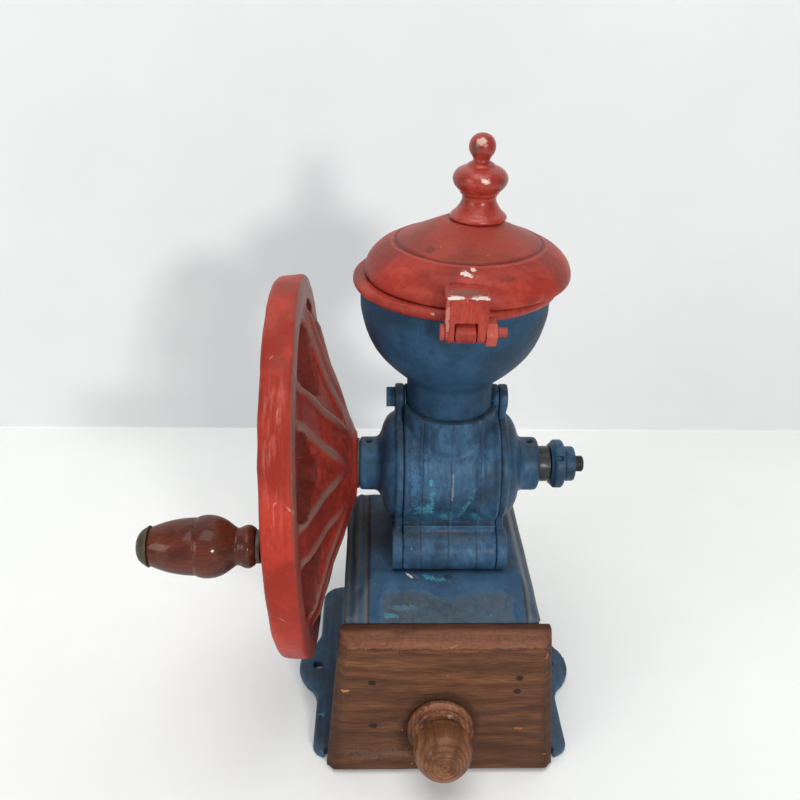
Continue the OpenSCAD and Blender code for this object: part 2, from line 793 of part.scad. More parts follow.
// one rounded window, cut along X; the spokes lie half a step either side of it
module window_cut() {
  q = window_r;
  half = 180 / windows;
  r0 = web_r + q;
  h0 = 1.5;
  h1 = (rim_in - q) * sin(half) - spoke_w / 2 - q;
  r1 = (rim_in - q) * cos(half) + 1;
  g = atan2(h1 - h0, r1 - r0);
  w = asin(h1 / (rim_in - q));
  crown = arc([0, 0], rim_in - 0.5, -w * 0.8, w * 0.8, 4);
  linear_extrude(60) polygon(concat(arc([r0, h0], q, 90 + g, 180, 4),
    arc([r0, -h0], q, 180, 270 - g, 4), arc([r1, -h1], q, 270 - g, 360 - w, 5), crown,
    arc([r1, h1], q, w, 90 + g, 5)));
}

// children of the wheel's rim and web, leaning about its middle in the shaft's frame
module leaning() {
  c = (web_x + hub_x) / 2;
  translate([0, 0, -c]) rotate([0, -wheel_lean, 0]) translate([0, 0, c]) children();
}

module wheel_disc() {
  wi = rim_in_x;
  wo = rim_out_x;
  m = rim_in - 1;
  difference() {
    rotate_extrude($fn = 180) polygon([[13, -web_x - web_t - 1],
      [hub_r + 2, -web_x - web_t - 1], [web_r, -web_x - web_t - 2], [m, -wi - web_t],
      [m + 1, -wo + 3], [m + 4, -wo], [wheel_r - 4, -wo], [wheel_r - 1.6, -wo + 1.6],
      [wheel_r - 0.8, -wo + 4], [wheel_r, -wi - 2], [wheel_r - 0.7, -wi],
      [wheel_r - 3, -wi + 2.2], [wheel_r - 8, -wi + 4.5], [m, -wi + 3], [m - 3, -wi + 1.5],
      [web_r, -web_x], [hub_r + 12, -hub_x - 5.5], [hub_r + 4, -hub_x - 2],
      [hub_r - 1, -hub_x - 1], [13, -hub_x - 2]]);
    for (i = [0 : windows - 1])
      rotate([0, 0, 270 - crank_angle + (i + 0.5) * 360 / windows])
        translate([0, 0, -130]) window_cut();
  }
}

module flywheel() {
  s = shaft_r + 0.02;
  wo = rim_out_x;
  h1 = hub_x + hub_len;
  color(iron_red) on_shaft() difference() {
    union() {
      leaning() wheel_disc();
      rotate_extrude($fn = 96) polygon([[s, -h1], [hub_r - 4, -h1], [hub_r - 2, -h1 + 2],
        [hub_r, -web_x - web_t], [hub_r, -hub_x], [s, -hub_x]]);
      translate([-crank_z, crank_y, -wo - 1.5]) cylinder(h = 16, r = 9.5, $fn = 64);
    }
    translate([0, 0, -8]) key_bar(0.05);
    key_bar(0.05);
    translate([-crank_z, crank_y, -wo - 3]) cylinder(h = 15.5, r = spindle_r, $fn = 64);
  }
}

module wheel_key() {
  color(steel) on_shaft() key_bar(0);
}

module shaft_nut() {
  h1 = hub_x + hub_len;
  color(steel) on_shaft() translate([0, 0, -h1 - 0.1]) rotate([180, 0, 0]) difference() {
    hex(19, 6.4);
    translate([0, 0, -1]) cylinder(h = 10, r = 6.02, $fn = 64);
  }
}

// children on the crank spindle's axis, z = 0 at the grip's inner end, +Z outwards
module on_crank() {
  translate([body_x - grip_x0, shaft_y + crank_y, shaft_z + crank_z])
    rotate([0, -90, 0]) children();
}

module crank_spindle() {
  e = grip_len + 1.2;
  back = grip_x0 - rim_out_x;
  color(steel) on_crank() rotate_extrude($fn = 64) polygon([[0, -back - 9], [spindle_r - 0.02, -back - 9],
    [spindle_r - 0.02, -2.4], [spindle_r, -2.4], [spindle_r, e], [spindle_r + 3, e + 0.3],
    [spindle_r + 3, e + 2], [spindle_r, e + 3], [0, e + 3]]);
}

module grip_washer() {
  color(steel) on_crank() translate([0, 0, -2.2]) difference() {
    cylinder(h = 1.9, r = 9, $fn = 64);
    translate([0, 0, -1]) cylinder(h = 4, r = spindle_r + 0.02, $fn = 64);
  }
}

module crank_grip() {
  b = spindle_r + run_gap;
  g = grip_r;
  l = grip_len;
  color(wood_red) on_crank() rotate_extrude($fn = 128) polygon([[b, 0], [9.2, 0], [10.4, 1.2],
    [11.4, 3], [11.6, 4.4], [11.2, 6.2], [10.4, 7.8], [9.9, 9.2], [10, 10.4], [11.6, 12.6],
    [13.6, 15.2], [15.2, 18], [16.3, 21.2], [g, 24.6], [16.6, 28], [16, 30.4],
    [15.3, 31.3], [15.3, 34.2], [15, 38], [14.3, 43], [13.1, 48], [11.6, 52.4],
    [10.2, l], [8.6, l], [8.6, l - 1.5], [b, l - 1.5]]);
}

module grip_end_cap() {
  l = grip_len;
  c = cap_len;
  color(bronze) on_crank() rotate_extrude($fn = 96) polygon([[8.8, l + 0.1], [11, l + 0.1],
    [11, l + 1], [10.2, l + 1.8], [9.4, l + c * 0.45], [7.6, l + c * 0.72], [4.6, l + c * 0.92],
    [0, l + c], [0, l + c - 1.3], [4.2, l + c - 1.9], [7.8, l + c * 0.45], [8.8, l + 1.4]]);
}

module adjusting_screw() {
  e = stud_x;
  color(steel) on_shaft() rotate_extrude($fn = 96) polygon([[0, shaft_right + 0.35],
    [3, shaft_right + 0.35], [4, shaft_right + 1.4], [adj_r - 0.05, shaft_right + 1.4],
    [adj_r - 0.05, boss_out], [adj_r, boss_out + 0.2], [adj_r, adj_out - 0.6],
    [adj_r - 0.6, adj_out], [stud_r, adj_out], [stud_r, e - 0.8], [stud_r - 0.8, e],
    [0, e]]);
}

module lock_ring() {
  t = ring_t;
  r = ring_r;
  x = ring_x;
  color(iron_blue) on_shaft() difference() {
    rotate_extrude($fn = 96) polygon([[stud_r + 0.06, x], [r - 1.2, x], [r, x + 1.2],
      [r, x + t - 1.2], [r - 1.2, x + t], [stud_r + 0.06, x + t]]);
    for (i = [0 : 3]) rotate([0, 0, 45 + 90 * i]) translate([r - 2.6, -1.6, x + 1.8])
      cube([4, 3.2, t - 3.6]);
  }
}

module stud_nut() {
  color(iron_blue) on_shaft() rotate_extrude($fn = 96) polygon([[stud_r + 0.02, nut_x],
    [nut_r - 0.8, nut_x], [nut_r, nut_x + 0.8], [nut_r, nut_x + nut_t - 0.8],
    [nut_r - 0.8, nut_x + nut_t], [stud_r + 0.02, nut_x + nut_t]]);
}

// outer side of the hopper, radius against height above its seat
cup_out = [[neck_r, 0], [neck_r, 17], [27.2, 20], [29.6, 22.6], [33.4, 26], [38.2, 30.6],
  [43, 36], [46.6, 41], [49.4, 46.4], [51.5, 52], [53, 58], [54.2, 64], [cup_r, 70],
  [cup_r, lip_z - 6.5], [lip_r - 2.2, lip_z - 6.2], [lip_r - 0.5, lip_z - 4.6],
  [lip_r, lip_z - 3], [lip_r - 0.6, lip_z - 1.2], [lip_r - 2, lip_z]];
// its inner side, from the top down
cup_in = [[cup_r - cup_wall - 0.5, lip_z], [cup_r - cup_wall, 70], [49.2, 58], [45.4, 46.4],
  [39, 36], [33.5, 30], [28, 25.4], [throat_r + 3.5, 21], [throat_r, 17], [throat_r, -6.5],
  [seat_d - 3.05, -6.5], [seat_d - 3.05, 0]];

module hopper() {
  color(iron_blue) in_hopper() difference() {
    union() {
      rotate_extrude($fn = 160) polygon(concat(cup_out, cup_in));
      difference() {
        union() {
          x_bar(hinge_shift - hinge_lug, hinge_shift + hinge_lug, -pin_y, pin_z, 5.8);
          translate([hinge_shift - hinge_lug, -pin_y, pin_z - 5.8])
            cube([2 * hinge_lug, 14, 11.6]);
        }
        translate([0, 0, 40]) cylinder(h = 60, r = cup_r - 1, $fn = 96);
        translate([-20, -pin_y + 3.5, lip_z - 3]) cube([40, 10, 5]);
      }
    }
    x_bar(-20, 20, -pin_y, pin_z, pin_r + run_gap);
  }
}

// outer side of the lid, radius against height above its edge
lid_out = [[lid_r - 1.2, 0], [lid_r - 0.2, 0.9], [lid_r, 2.6], [lid_r - 0.4, 5.5],
  [lid_r - 1.8, 8.8], [lid_r - 4.4, 12.2], [lid_r - 8, 15.2], [lid_r - 12.4, 17.4],
  [groove_r + 1.2, 19.2], [groove_r + 0.5, 18.4], [groove_r - 0.5, 18.4],
  [groove_r - 1, 19.9], [34, 22.4], [26, 26.2], [19, lid_rise - 1.8], [15, lid_rise]];
lid_in = [[0, lid_rise], [0, lid_rise - 3.4], [15, lid_rise - 3.4], [25, 23], [33, 19.2], [groove_r, 15.8],
  [lid_r - 12.6, 13.6], [lid_r - 8.4, 11], [lid_r - 6.2, 8], [lid_r - 5.2, 4.5],
  [lid_r - 5, 0]];

// tenon of the hinge bracket, through the lid's wall, grown by g
module bracket_tenon(g) {
  translate([hinge_shift - 7 - g, 1.2 - lid_r, lid_z + hinge_top - 2.4 - g])
    cube([14 + 2 * g, lid_r + 0.3 - key_y, 2.4 + 2 * g]);
}

module lid() {
  color(iron_red) in_hopper() difference() {
    union() {
      translate([lid_shift, 0, lid_z])
        rotate_extrude($fn = 160) polygon(concat(lid_out, lid_in));
      translate([lid_shift + finial_shift, 0, lid_z + lid_rise - 3.2]) cylinder(h = 3.2, r = 15, $fn = 96);
    }
    translate([lid_shift + finial_shift, 0, lid_z + 20]) cylinder(h = 20, r = 3, $fn = 48);
    translate([hinge_shift - 11.02, -pin_y - 8, lid_z + hinge_top - 2.42])
      cube([22.04, pin_y + 8 - plate_end, 20]);
    bracket_tenon(0.02);
  }
}

module finial() {
  z0 = lid_z + lid_rise;
  color(iron_red) in_hopper() translate([lid_shift + finial_shift, 0, z0]) difference() {
    union() {
      rotate_extrude($fn = 96) polygon([[0, 0], [14.6, 0], [15.8, 0.9], [15.8, 2.2], [14.6, 3.4],
        [13, 4.6], [11.6, 6.6], [9.8, 9.4], [9.3, 11.6], [9.6, 13.6], [10.8, 14.6],
        [10.8, 15.6], [12.6, 17], [14.4, 19.2], [15.2, 21.8], [14.8, 24.4], [13, 26.8],
        [10.2, 28.4], [7.8, 29.2], [7, 30.4], [4.6, 31.4], [4.2, 32.4], [4.4, 34], [0, 34]]);
      translate([0, 0, 39]) sphere(r = 7.3, $fn = 48);
    }
    translate([0, 0, -1]) cylinder(h = 15, r = 2.98, $fn = 48);
  }
}

module finial_stud() {
  z0 = lid_z + lid_rise;
  color(steel) in_hopper() translate([lid_shift + finial_shift, 0, z0]) union() {
    translate([0, 0, -4]) cylinder(h = 17, r = 2.96, $fn = 48);
    translate([0, 0, -5.6]) cylinder(h = 2.2, r = 5.5, $fn = 48);
  }
}

// the cross pin through that tenon, inside the lid, with radius r
module tenon_pin(r, h) {
  x_bar(hinge_shift - h, hinge_shift + h, -key_y, lid_z + hinge_top - 1.2, r);
}

module bracket_key() {
  color(steel) in_hopper() tenon_pin(0.7, key_half);
}

module hinge_bracket() {
  z1 = lid_z + hinge_top;
  e0 = hinge_lug + 0.3;
  e1 = e0 + ear_t;
  color(iron_red) in_hopper() difference() {
    union() {
      bracket_tenon(0);
      translate([hinge_shift - 11, -pin_y - 5.5, z1 - 2.4]) cube([22, pin_y + 5.48 - plate_end, 2.4]);
      translate([hinge_shift - 11, -pin_y - 5.5, pin_z + 7]) cube([22, 3, z1 - pin_z - 7]);
      for (s = [-1, 1]) {
        a = hinge_shift + (s < 0 ? -e1 : e0);
        x_bar(a, a + ear_t, -pin_y, pin_z, 5.5);
        translate([a, -pin_y - 5.5, pin_z]) cube([ear_t, 5.5, 8]);
      }
    }
    x_bar(-20, 20, -pin_y, pin_z, pin_r + 0.01);
    tenon_pin(0.72, 9);
  }
}

module hinge_pin() {
  e1 = hinge_lug + 0.3 + ear_t;
  color(steel) in_hopper() translate([hinge_shift, 0, 0]) union() {
    x_bar(-e1 - 2, e1 + 11, -pin_y, pin_z, pin_r);
    x_bar(-e1 - 2.4, -e1, -pin_y, pin_z, pin_r + 1.6);
  }
}

module hinge_nut() {
  e1 = hinge_lug + 0.3 + ear_t;
  color(steel) in_hopper() translate([hinge_shift + e1, -pin_y, pin_z]) rotate([0, 90, 0])
    difference() {
    rotate([0, 0, 30]) hex(12.4, 5.4);
    translate([0, 0, -1]) cylinder(h = 8, r = pin_r + 0.02, $fn = 48);
  }
}

base_casting();
drawer_front();
drawer_left_side();
drawer_right_side();
drawer_back();
drawer_bottom();
drawer_knob();
knob_screw();
drawer_nails();
chamber_casing();
left_end_plate();
right_end_plate();
front_tie_rod();
rear_tie_rod();
left_lug_screw();
right_lug_stud();
deck_screws();
drive_shaft();
inner_burr();
outer_burr();
hub_washer();
flywheel();
wheel_key();
shaft_nut();
crank_spindle();
grip_washer();
crank_grip();
grip_end_cap();
adjusting_screw();
lock_ring();
stud_nut();
hopper();
lid();
finial();
finial_stud();
bracket_key();
hinge_bracket();
hinge_pin();
hinge_nut();
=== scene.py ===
"""Looks of the hand crank coffee mill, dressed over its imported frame. Sizes are in millimetres unless noted."""

import json
import logging
import math
from dataclasses import dataclass
from enum import Enum
from typing import Callable, Dict, List, Optional, Sequence, Tuple

import bmesh
import bpy
from mathutils import Matrix, Vector, noise

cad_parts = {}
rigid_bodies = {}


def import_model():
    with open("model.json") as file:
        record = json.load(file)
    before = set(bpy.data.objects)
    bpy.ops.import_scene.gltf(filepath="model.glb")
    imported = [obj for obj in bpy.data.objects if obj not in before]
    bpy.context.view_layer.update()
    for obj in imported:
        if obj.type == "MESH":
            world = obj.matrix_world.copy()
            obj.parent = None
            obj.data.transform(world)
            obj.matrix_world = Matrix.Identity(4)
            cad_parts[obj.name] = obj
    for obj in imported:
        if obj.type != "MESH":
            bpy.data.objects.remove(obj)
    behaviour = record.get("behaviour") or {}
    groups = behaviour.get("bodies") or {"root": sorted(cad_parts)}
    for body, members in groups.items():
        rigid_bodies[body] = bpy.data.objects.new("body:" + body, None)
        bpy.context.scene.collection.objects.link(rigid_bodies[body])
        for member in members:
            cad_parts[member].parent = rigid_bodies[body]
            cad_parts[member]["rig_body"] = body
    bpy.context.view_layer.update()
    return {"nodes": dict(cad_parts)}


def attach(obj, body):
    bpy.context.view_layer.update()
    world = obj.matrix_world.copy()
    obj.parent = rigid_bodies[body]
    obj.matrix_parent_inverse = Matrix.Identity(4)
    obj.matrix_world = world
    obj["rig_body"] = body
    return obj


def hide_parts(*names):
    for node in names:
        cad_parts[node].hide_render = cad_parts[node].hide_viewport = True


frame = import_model()

LOG = logging.getLogger("coffee_mill")
MM = 0.001
Point = Tuple[float, float]
Triple = Tuple[float, float, float]
Colour = Triple
Socket, Node, Tree = bpy.types.NodeSocket, bpy.types.Node, bpy.types.NodeTree
Material, Piece = bpy.types.Material, bpy.types.Object


class Axis(Enum):
    """The direction that a turned piece's length lies along."""

    UP = "up"
    RIGHT = "right"
    LEFT = "left"
    BOARD = "board"


@dataclass(frozen=True)
class Placing:
    """Shared places of the mill, in the row frame."""

    body_x: float = 3.5
    shaft_y: float = 14.0
    shaft_z: float = 168.0
    hopper_x: float = 1.9
    lid_x: float = 8.2
    finial_x: float = 12.5
    finial_z: float = 328.3
    grip_x: float = -106.3
    grip_y: float = -83.25
    grip_z: float = 177.364
    board_foot: float = -87.5
    board_slope: float = 20.0 / 98.0

    def board_front(self, z: float) -> float:
        """Y of the drawer board's front face at this height."""
        return self.board_foot + self.board_slope * z


PLACE = Placing()


# ---------------------------------------------------------------- node building


class Graph:
    """A short way to place and join shader nodes in one tree."""

    def __init__(self, tree: Tree) -> None:
        """Keeps the tree and empties it.

        Args:
            tree: the node tree to fill.
        """
        self.tree = tree
        tree.nodes.clear()

    def add(self, kind: str, **values: object) -> Node:
        """Places one node.

        Args:
            kind: the node's type name without its ShaderNode prefix.
            values: properties of the node.

        Returns:
            The new node.
        """
        node = self.tree.nodes.new("ShaderNode" + kind)
        for key, value in values.items():
            setattr(node, key, value)
        return node

    def feed(self, socket: Socket, value: object) -> None:
        """Links a socket's source, or sets its plain value.

        Args:
            socket: the input to feed.
            value: another socket, a number, a vector or a colour.
        """
        if isinstance(value, Socket):
            self.tree.links.new(value, socket)
        elif isinstance(value, (tuple, list)) and len(value) == 3 and socket.type == "RGBA":
            socket.default_value = (*value, 1.0)
        else:
            socket.default_value = value

    def math(self, op: str, *values: object, clamp: bool = False) -> Socket:
        """Places a Math node.

        Args:
            op: its operation.
            values: its inputs, in order.
            clamp: whether the result stays between 0 and 1.

        Returns:
            The result.
        """
        node = self.add("Math", operation=op, use_clamp=clamp)
        for socket, value in zip(node.inputs, values):
            self.feed(socket, value)
        return node.outputs[0]

    def times(self, *values: object) -> object:
        """Multiplies values.

        Args:
            values: sockets or numbers.

        Returns:
            The product.
        """
        product = values[0]
        for value in values[1:]:
            product = self.math("MULTIPLY", product, value)
        return product

    def plus(self, a: object, b: object) -> Socket:
        """The sum of two values."""
        return self.math("ADD", a, b)

    def minus(self, a: object, b: object) -> Socket:
        """One value less another."""
        return self.math("SUBTRACT", a, b)

    def gap(self, a: object, b: object) -> Socket:
        """How far apart two values are."""
        return self.math("ABSOLUTE", self.minus(a, b))

    def sway(self, value: Socket, reach: float) -> Socket:
        """A noise turned into a shift of up to half a reach either way."""
        return self.times(self.minus(value, 0.5), reach)

    def length(self, a: Socket, b: Socket) -> Socket:
        """The length of a vector with these two sides."""
        return self.math("POWER", self.plus(self.times(a, a), self.times(b, b)), 0.5)

    def span(self, value: object, low: float, high: float, to_low: float = 0.0, to_high: float = 1.0) -> Socket:
        """Maps a range smoothly on to another.

        Args:
            value: the value.
            low: what becomes to_low.
            high: what becomes to_high.
            to_low: the result at low.
            to_high: the result at high.

        Returns:
            The result.
        """
        node = self.add("MapRange", interpolation_type="SMOOTHSTEP")
        for socket, item in zip(node.inputs, (value, low, high, to_low, to_high)):
            self.feed(socket, item)
        return node.outputs[0]

    def reach(self, value: object, low: float, high: float, to_low: float = 0.0, to_high: float = 1.0) -> Socket:
        """The same as span, for a length whose limits are in millimetres."""
        return self.span(value, low * MM, high * MM, to_low, to_high)

    def band(self, value: object, rise: Point, fall: Point) -> Socket:
        """A mask that is white over a stretch of a length.

        Args:
            value: the length.
            rise: where it starts and where it is white, in millimetres.
            fall: where it is white no more and where it ends.

        Returns:
            The mask.
        """
        return self.times(self.reach(value, *rise), self.reach(value, fall[1], fall[0]))

    def mix(self, fac: object, a: object, b: object) -> Socket:
        """Mixes two colours.

        Args:
            fac: the share of the second.
            a: the first.
            b: the second.

        Returns:
            The colour.
        """
        node = self.add("Mix", data_type="RGBA")
        for index, value in ((0, fac), (6, a), (7, b)):
            self.feed(node.inputs[index], value)
        return node.outputs[2]

    def noise(self, vector: object, scale: object, detail: float, rough: float = 0.55, warp: float = 0.0) -> Socket:
        """Places a noise texture.

        Args:
            vector: its coordinate.
            scale: its scale.
            detail: its detail.
            rough: its roughness.
            warp: its distortion.

        Returns:
            Its value.
        """
        node = self.add("TexNoise")
        values = {"Vector": vector, "Scale": scale, "Detail": detail, "Roughness": rough, "Distortion": warp}
        for key, value in values.items():
            self.feed(node.inputs[key], value)
        return node.outputs[0]

    def stretch(self, vector: object, scale: Triple = (1.0, 1.0, 1.0), shift: Triple = (0.0, 0.0, 0.0)) -> Socket:
        """Stretches and then shifts a coordinate.

        Args:
            vector: the coordinate.
            scale: its scale along each axis.
            shift: how far it moves, in millimetres.

        Returns:
            The new coordinate.
        """
        node = self.add("Mapping")
        self.feed(node.inputs["Vector"], vector)
        node.inputs["Scale"].default_value = scale
        node.inputs["Location"].default_value = tuple(v * MM for v in shift)
        return node.outputs[0]

    def place(self) -> Socket:
        """The Object coordinate."""
        return self.add("TexCoord").outputs["Object"]

    def facing(self) -> Sequence[Socket]:
        """The three parts of the surface's normal."""
        return self.split(self.add("TexCoord").outputs["Normal"])

    def split(self, vector: object) -> Sequence[Socket]:
        """Takes a vector apart.

        Args:
            vector: the vector.

        Returns:
            Its X, Y and Z.
        """
        node = self.add("SeparateXYZ")
        self.feed(node.inputs[0], vector)
        return tuple(node.outputs)


class Effects:
    """Node groups that more than one finish uses, each built once."""

    NUM = "NodeSocketFloat"
    VECTOR = "NodeSocketVector"
    _made: Dict[str, Tree] = {}

    @classmethod
    def _tree(
        cls, name: str, inputs: Sequence[Tuple[str, str, object]], outputs: Sequence[str]
    ) -> Tuple[Graph, Node, Node]:
        """Makes an empty group with its sockets.

        Args:
            name: the group's name.
            inputs: name, socket type and default of each input.
            outputs: name of each output, a number.

        Returns:
            The graph, its input node and its output node.
        """
        tree = bpy.data.node_groups.new(name, "ShaderNodeTree")
        for label, kind, value in inputs:
            socket = tree.interface.new_socket(label, in_out="INPUT", socket_type=kind)
            if value is not None:
                socket.default_value = value
        for label in outputs:
            tree.interface.new_socket(label, in_out="OUTPUT", socket_type=cls.NUM)
        cls._made[name] = tree
        return Graph(tree), tree.nodes.new("NodeGroupInput"), tree.nodes.new("NodeGroupOutput")

    @classmethod
    def wear(cls) -> Tree:
        """Masks of age: broad blotches, fine mottle, dust on what faces up, edges, hollows and chips.

        Returns:
            The group.
        """
        if "age_masks" in cls._made:
            return cls._made["age_masks"]
        graph, source, sink = cls._tree(
            "age_masks",
            [("Blotch Scale", cls.NUM, 26.0), ("Mottle Scale", cls.NUM, 240.0), ("Dust Reach", cls.NUM, 0.5)],
            ["Blotch", "Mottle", "Dust", "Edge", "Hollow", "Chip"],
        )
        at = graph.place()
        blotch = graph.noise(at, source.outputs[0], 5.0, 0.6, 0.4)
        mottle = graph.noise(at, source.outputs[1], 5.0, 0.65)
        drift = graph.noise(at, 70.0, 6.0, 0.62, 0.6)
        rise = graph.plus(graph.facing()[2], graph.sway(drift, 0.9))
        dust = graph.span(graph.plus(rise, source.outputs[2]), 0.75, 1.45)
        point = graph.plus(graph.add("NewGeometry").outputs["Pointiness"], graph.sway(mottle, 0.06))
        edge = graph.span(point, 0.525, 0.60)
        hollow = graph.span(point, 0.485, 0.42)
        spot = graph.plus(graph.noise(at, 120.0, 2.0, 0.5, 1.2), graph.times(edge, 0.08))
        chip = graph.span(spot, 0.735, 0.76)
        for socket, value in zip(sink.inputs, (blotch, mottle, dust, edge, hollow, chip)):
            graph.feed(socket, value)
        return cls._made["age_masks"]

    @classmethod
    def strokes(cls) -> Tree:
        """Marks that a brush leaves in thick paint, along one direction.

        Returns:
            The group.
        """
        if "brush_marks" in cls._made:
            return cls._made["brush_marks"]
        inputs = [("Vector", cls.VECTOR, None), ("Scale", cls.NUM, 60.0)]
        graph, source, sink = cls._tree("brush_marks", inputs, ["Mark", "Height"])
        at, scale = source.outputs[0], source.outputs[1]
        broad = graph.noise(at, scale, 4.0, 0.6, 0.5)
        fine = graph.noise(at, graph.times(scale, 3.7), 5.0, 0.6, 0.2)
        mark = graph.plus(graph.times(broad, 0.65), graph.times(fine, 0.35))
        graph.feed(sink.inputs[0], graph.span(mark, 0.40, 0.66))
        graph.feed(sink.inputs[1], mark)
        return cls._made["brush_marks"]

    @classmethod
    def grain(cls) -> Tree:
        """Year rings and pores of wood, for a coordinate whose X runs along the grain.

        Returns:
            The group.
        """
        if "wood_grain" in cls._made:
            return cls._made["wood_grain"]
        inputs = [("Vector", cls.VECTOR, None), ("Rings", cls.NUM, 260.0), ("Waver", cls.NUM, 0.012)]
        graph, source, sink = cls._tree("wood_grain", inputs, ["Ring", "Pore", "Cloud"])
        at, rings, waver = source.outputs[0], source.outputs[1], source.outputs[2]
        _, y, z = graph.split(at)
        slow = graph.noise(graph.stretch(at, (9.0, 30.0, 30.0)), 1.0, 3.0, 0.5, 0.3)
        far = graph.plus(graph.length(y, z), graph.sway(slow, waver))
        wave = graph.math("SINE", graph.times(far, rings, math.tau))
        pore = graph.noise(graph.stretch(at, (70.0, 1300.0, 1300.0)), 1.0, 3.0, 0.6)
        cloud = graph.noise(graph.stretch(at, (12.0, 60.0, 60.0)), 1.0, 5.0, 0.6, 0.8)
        for socket, value in zip(sink.inputs, (graph.span(wave, -0.6, 1.0), graph.span(pore, 0.36, 0.60), cloud)):
            graph.feed(socket, value)
        return cls._made["wood_grain"]

    @staticmethod
    def use(graph: Graph, tree: Tree, **values: object) -> Sequence[Socket]:
        """Places a group in a material.

        Args:
            graph: the material's graph.
            tree: the group.
            values: its inputs, with _ for a space in a name.

        Returns:
            The group's outputs.
        """
        node = graph.tree.nodes.new("ShaderNodeGroup")
        node.node_tree = tree
        for key, value in values.items():
            graph.feed(node.inputs[key.replace("_", " ")], value)
        return node.outputs


# ---------------------------------------------------------------- finishes


@dataclass
class Coat:
    """A surface's colour while it is built up, and where it is."""

    graph: Graph
    at: Socket
    mottle: Socket
    colour: Socket

    def lay(self, over: object, *masks: object) -> None:
        """Lays a colour over what is there.

        Args:
            over: the colour.
            masks: masks and shares, which are multiplied.
        """
        self.colour = self.graph.mix(self.graph.times(*masks), self.colour, over)


@dataclass(frozen=True)
class Mark:
    """One scratch, chip or stain at a place on a surface."""

    at: Triple
    half: Triple
    colour: Colour
    turn: Triple = (0.0, 0.0, 0.0)
    share: float = 1.0
    ragged: float = 0.5

    def over(self, coat: Coat, rough: Socket) -> None:
        """Lays the mark over a coat.

        Args:
            coat: what lies below.
            rough: a noise that breaks its edge up.
        """
        graph = coat.graph
        local = graph.add("Mapping", vector_type="TEXTURE")
        graph.feed(local.inputs["Vector"], coat.at)
        local.inputs["Location"].default_value = tuple(v * MM for v in self.at)
        local.inputs["Rotation"].default_value = tuple(math.radians(v) for v in self.turn)
        local.inputs["Scale"].default_value = tuple(v * MM for v in self.half)
        far = graph.add("VectorMath", operation="LENGTH")
        graph.feed(far.inputs[0], local.outputs[0])
        wave = graph.sway(rough, 4.0 * self.ragged)
        coat.lay(self.colour, graph.span(graph.plus(far.outputs["Value"], wave), 1.15, 0.75, 0.0, self.share))


@dataclass(frozen=True)
class Finish:
    """A surface finish; its subclasses say how it is made."""

    name: str
    marks: Tuple[Mark, ...] = ()

    def marked(self, coat: Coat) -> None:
        """Lays every mark over a coat.

        Args:
            coat: what lies below.
        """
        if self.marks:
            rough = coat.graph.noise(coat.at, 420.0, 4.0, 0.65, 0.4)
            for mark in self.marks:
                mark.over(coat, rough)

    def special(self, coat: Coat) -> None:
        """Lays what one piece alone shows; nothing here."""

    def _shell(self) -> Tuple[Material, Graph, Node]:
        """A material with its shader and output.

        Returns:
            The material, its graph and its Principled node.
        """
        made = bpy.data.materials.new(self.name)
        made.use_nodes = True
        graph = Graph(made.node_tree)
        shader = graph.add("BsdfPrincipled")
        graph.feed(graph.add("OutputMaterial").inputs["Surface"], shader.outputs[0])
        return made, graph, shader

    @staticmethod
    def _bump(graph: Graph, shader: Node, height: object, depth: float) -> None:
        """Joins a height to the shader's normal.

        Args:
            graph: the material's graph.
            shader: its Principled node.
            height: the height's socket, 0 to 1.
            depth: how deep a step from 0 to 1 is, in millimetres.
        """
        node = graph.add("Bump")
        node.inputs["Distance"].default_value = depth * MM
        node.inputs["Strength"].default_value = 1.0
        graph.feed(node.inputs["Height"], height)
        graph.feed(shader.inputs["Normal"], node.outputs[0])

    def make(self) -> Material:
        """Builds the material; each kind of finish has its own."""
        raise NotImplementedError


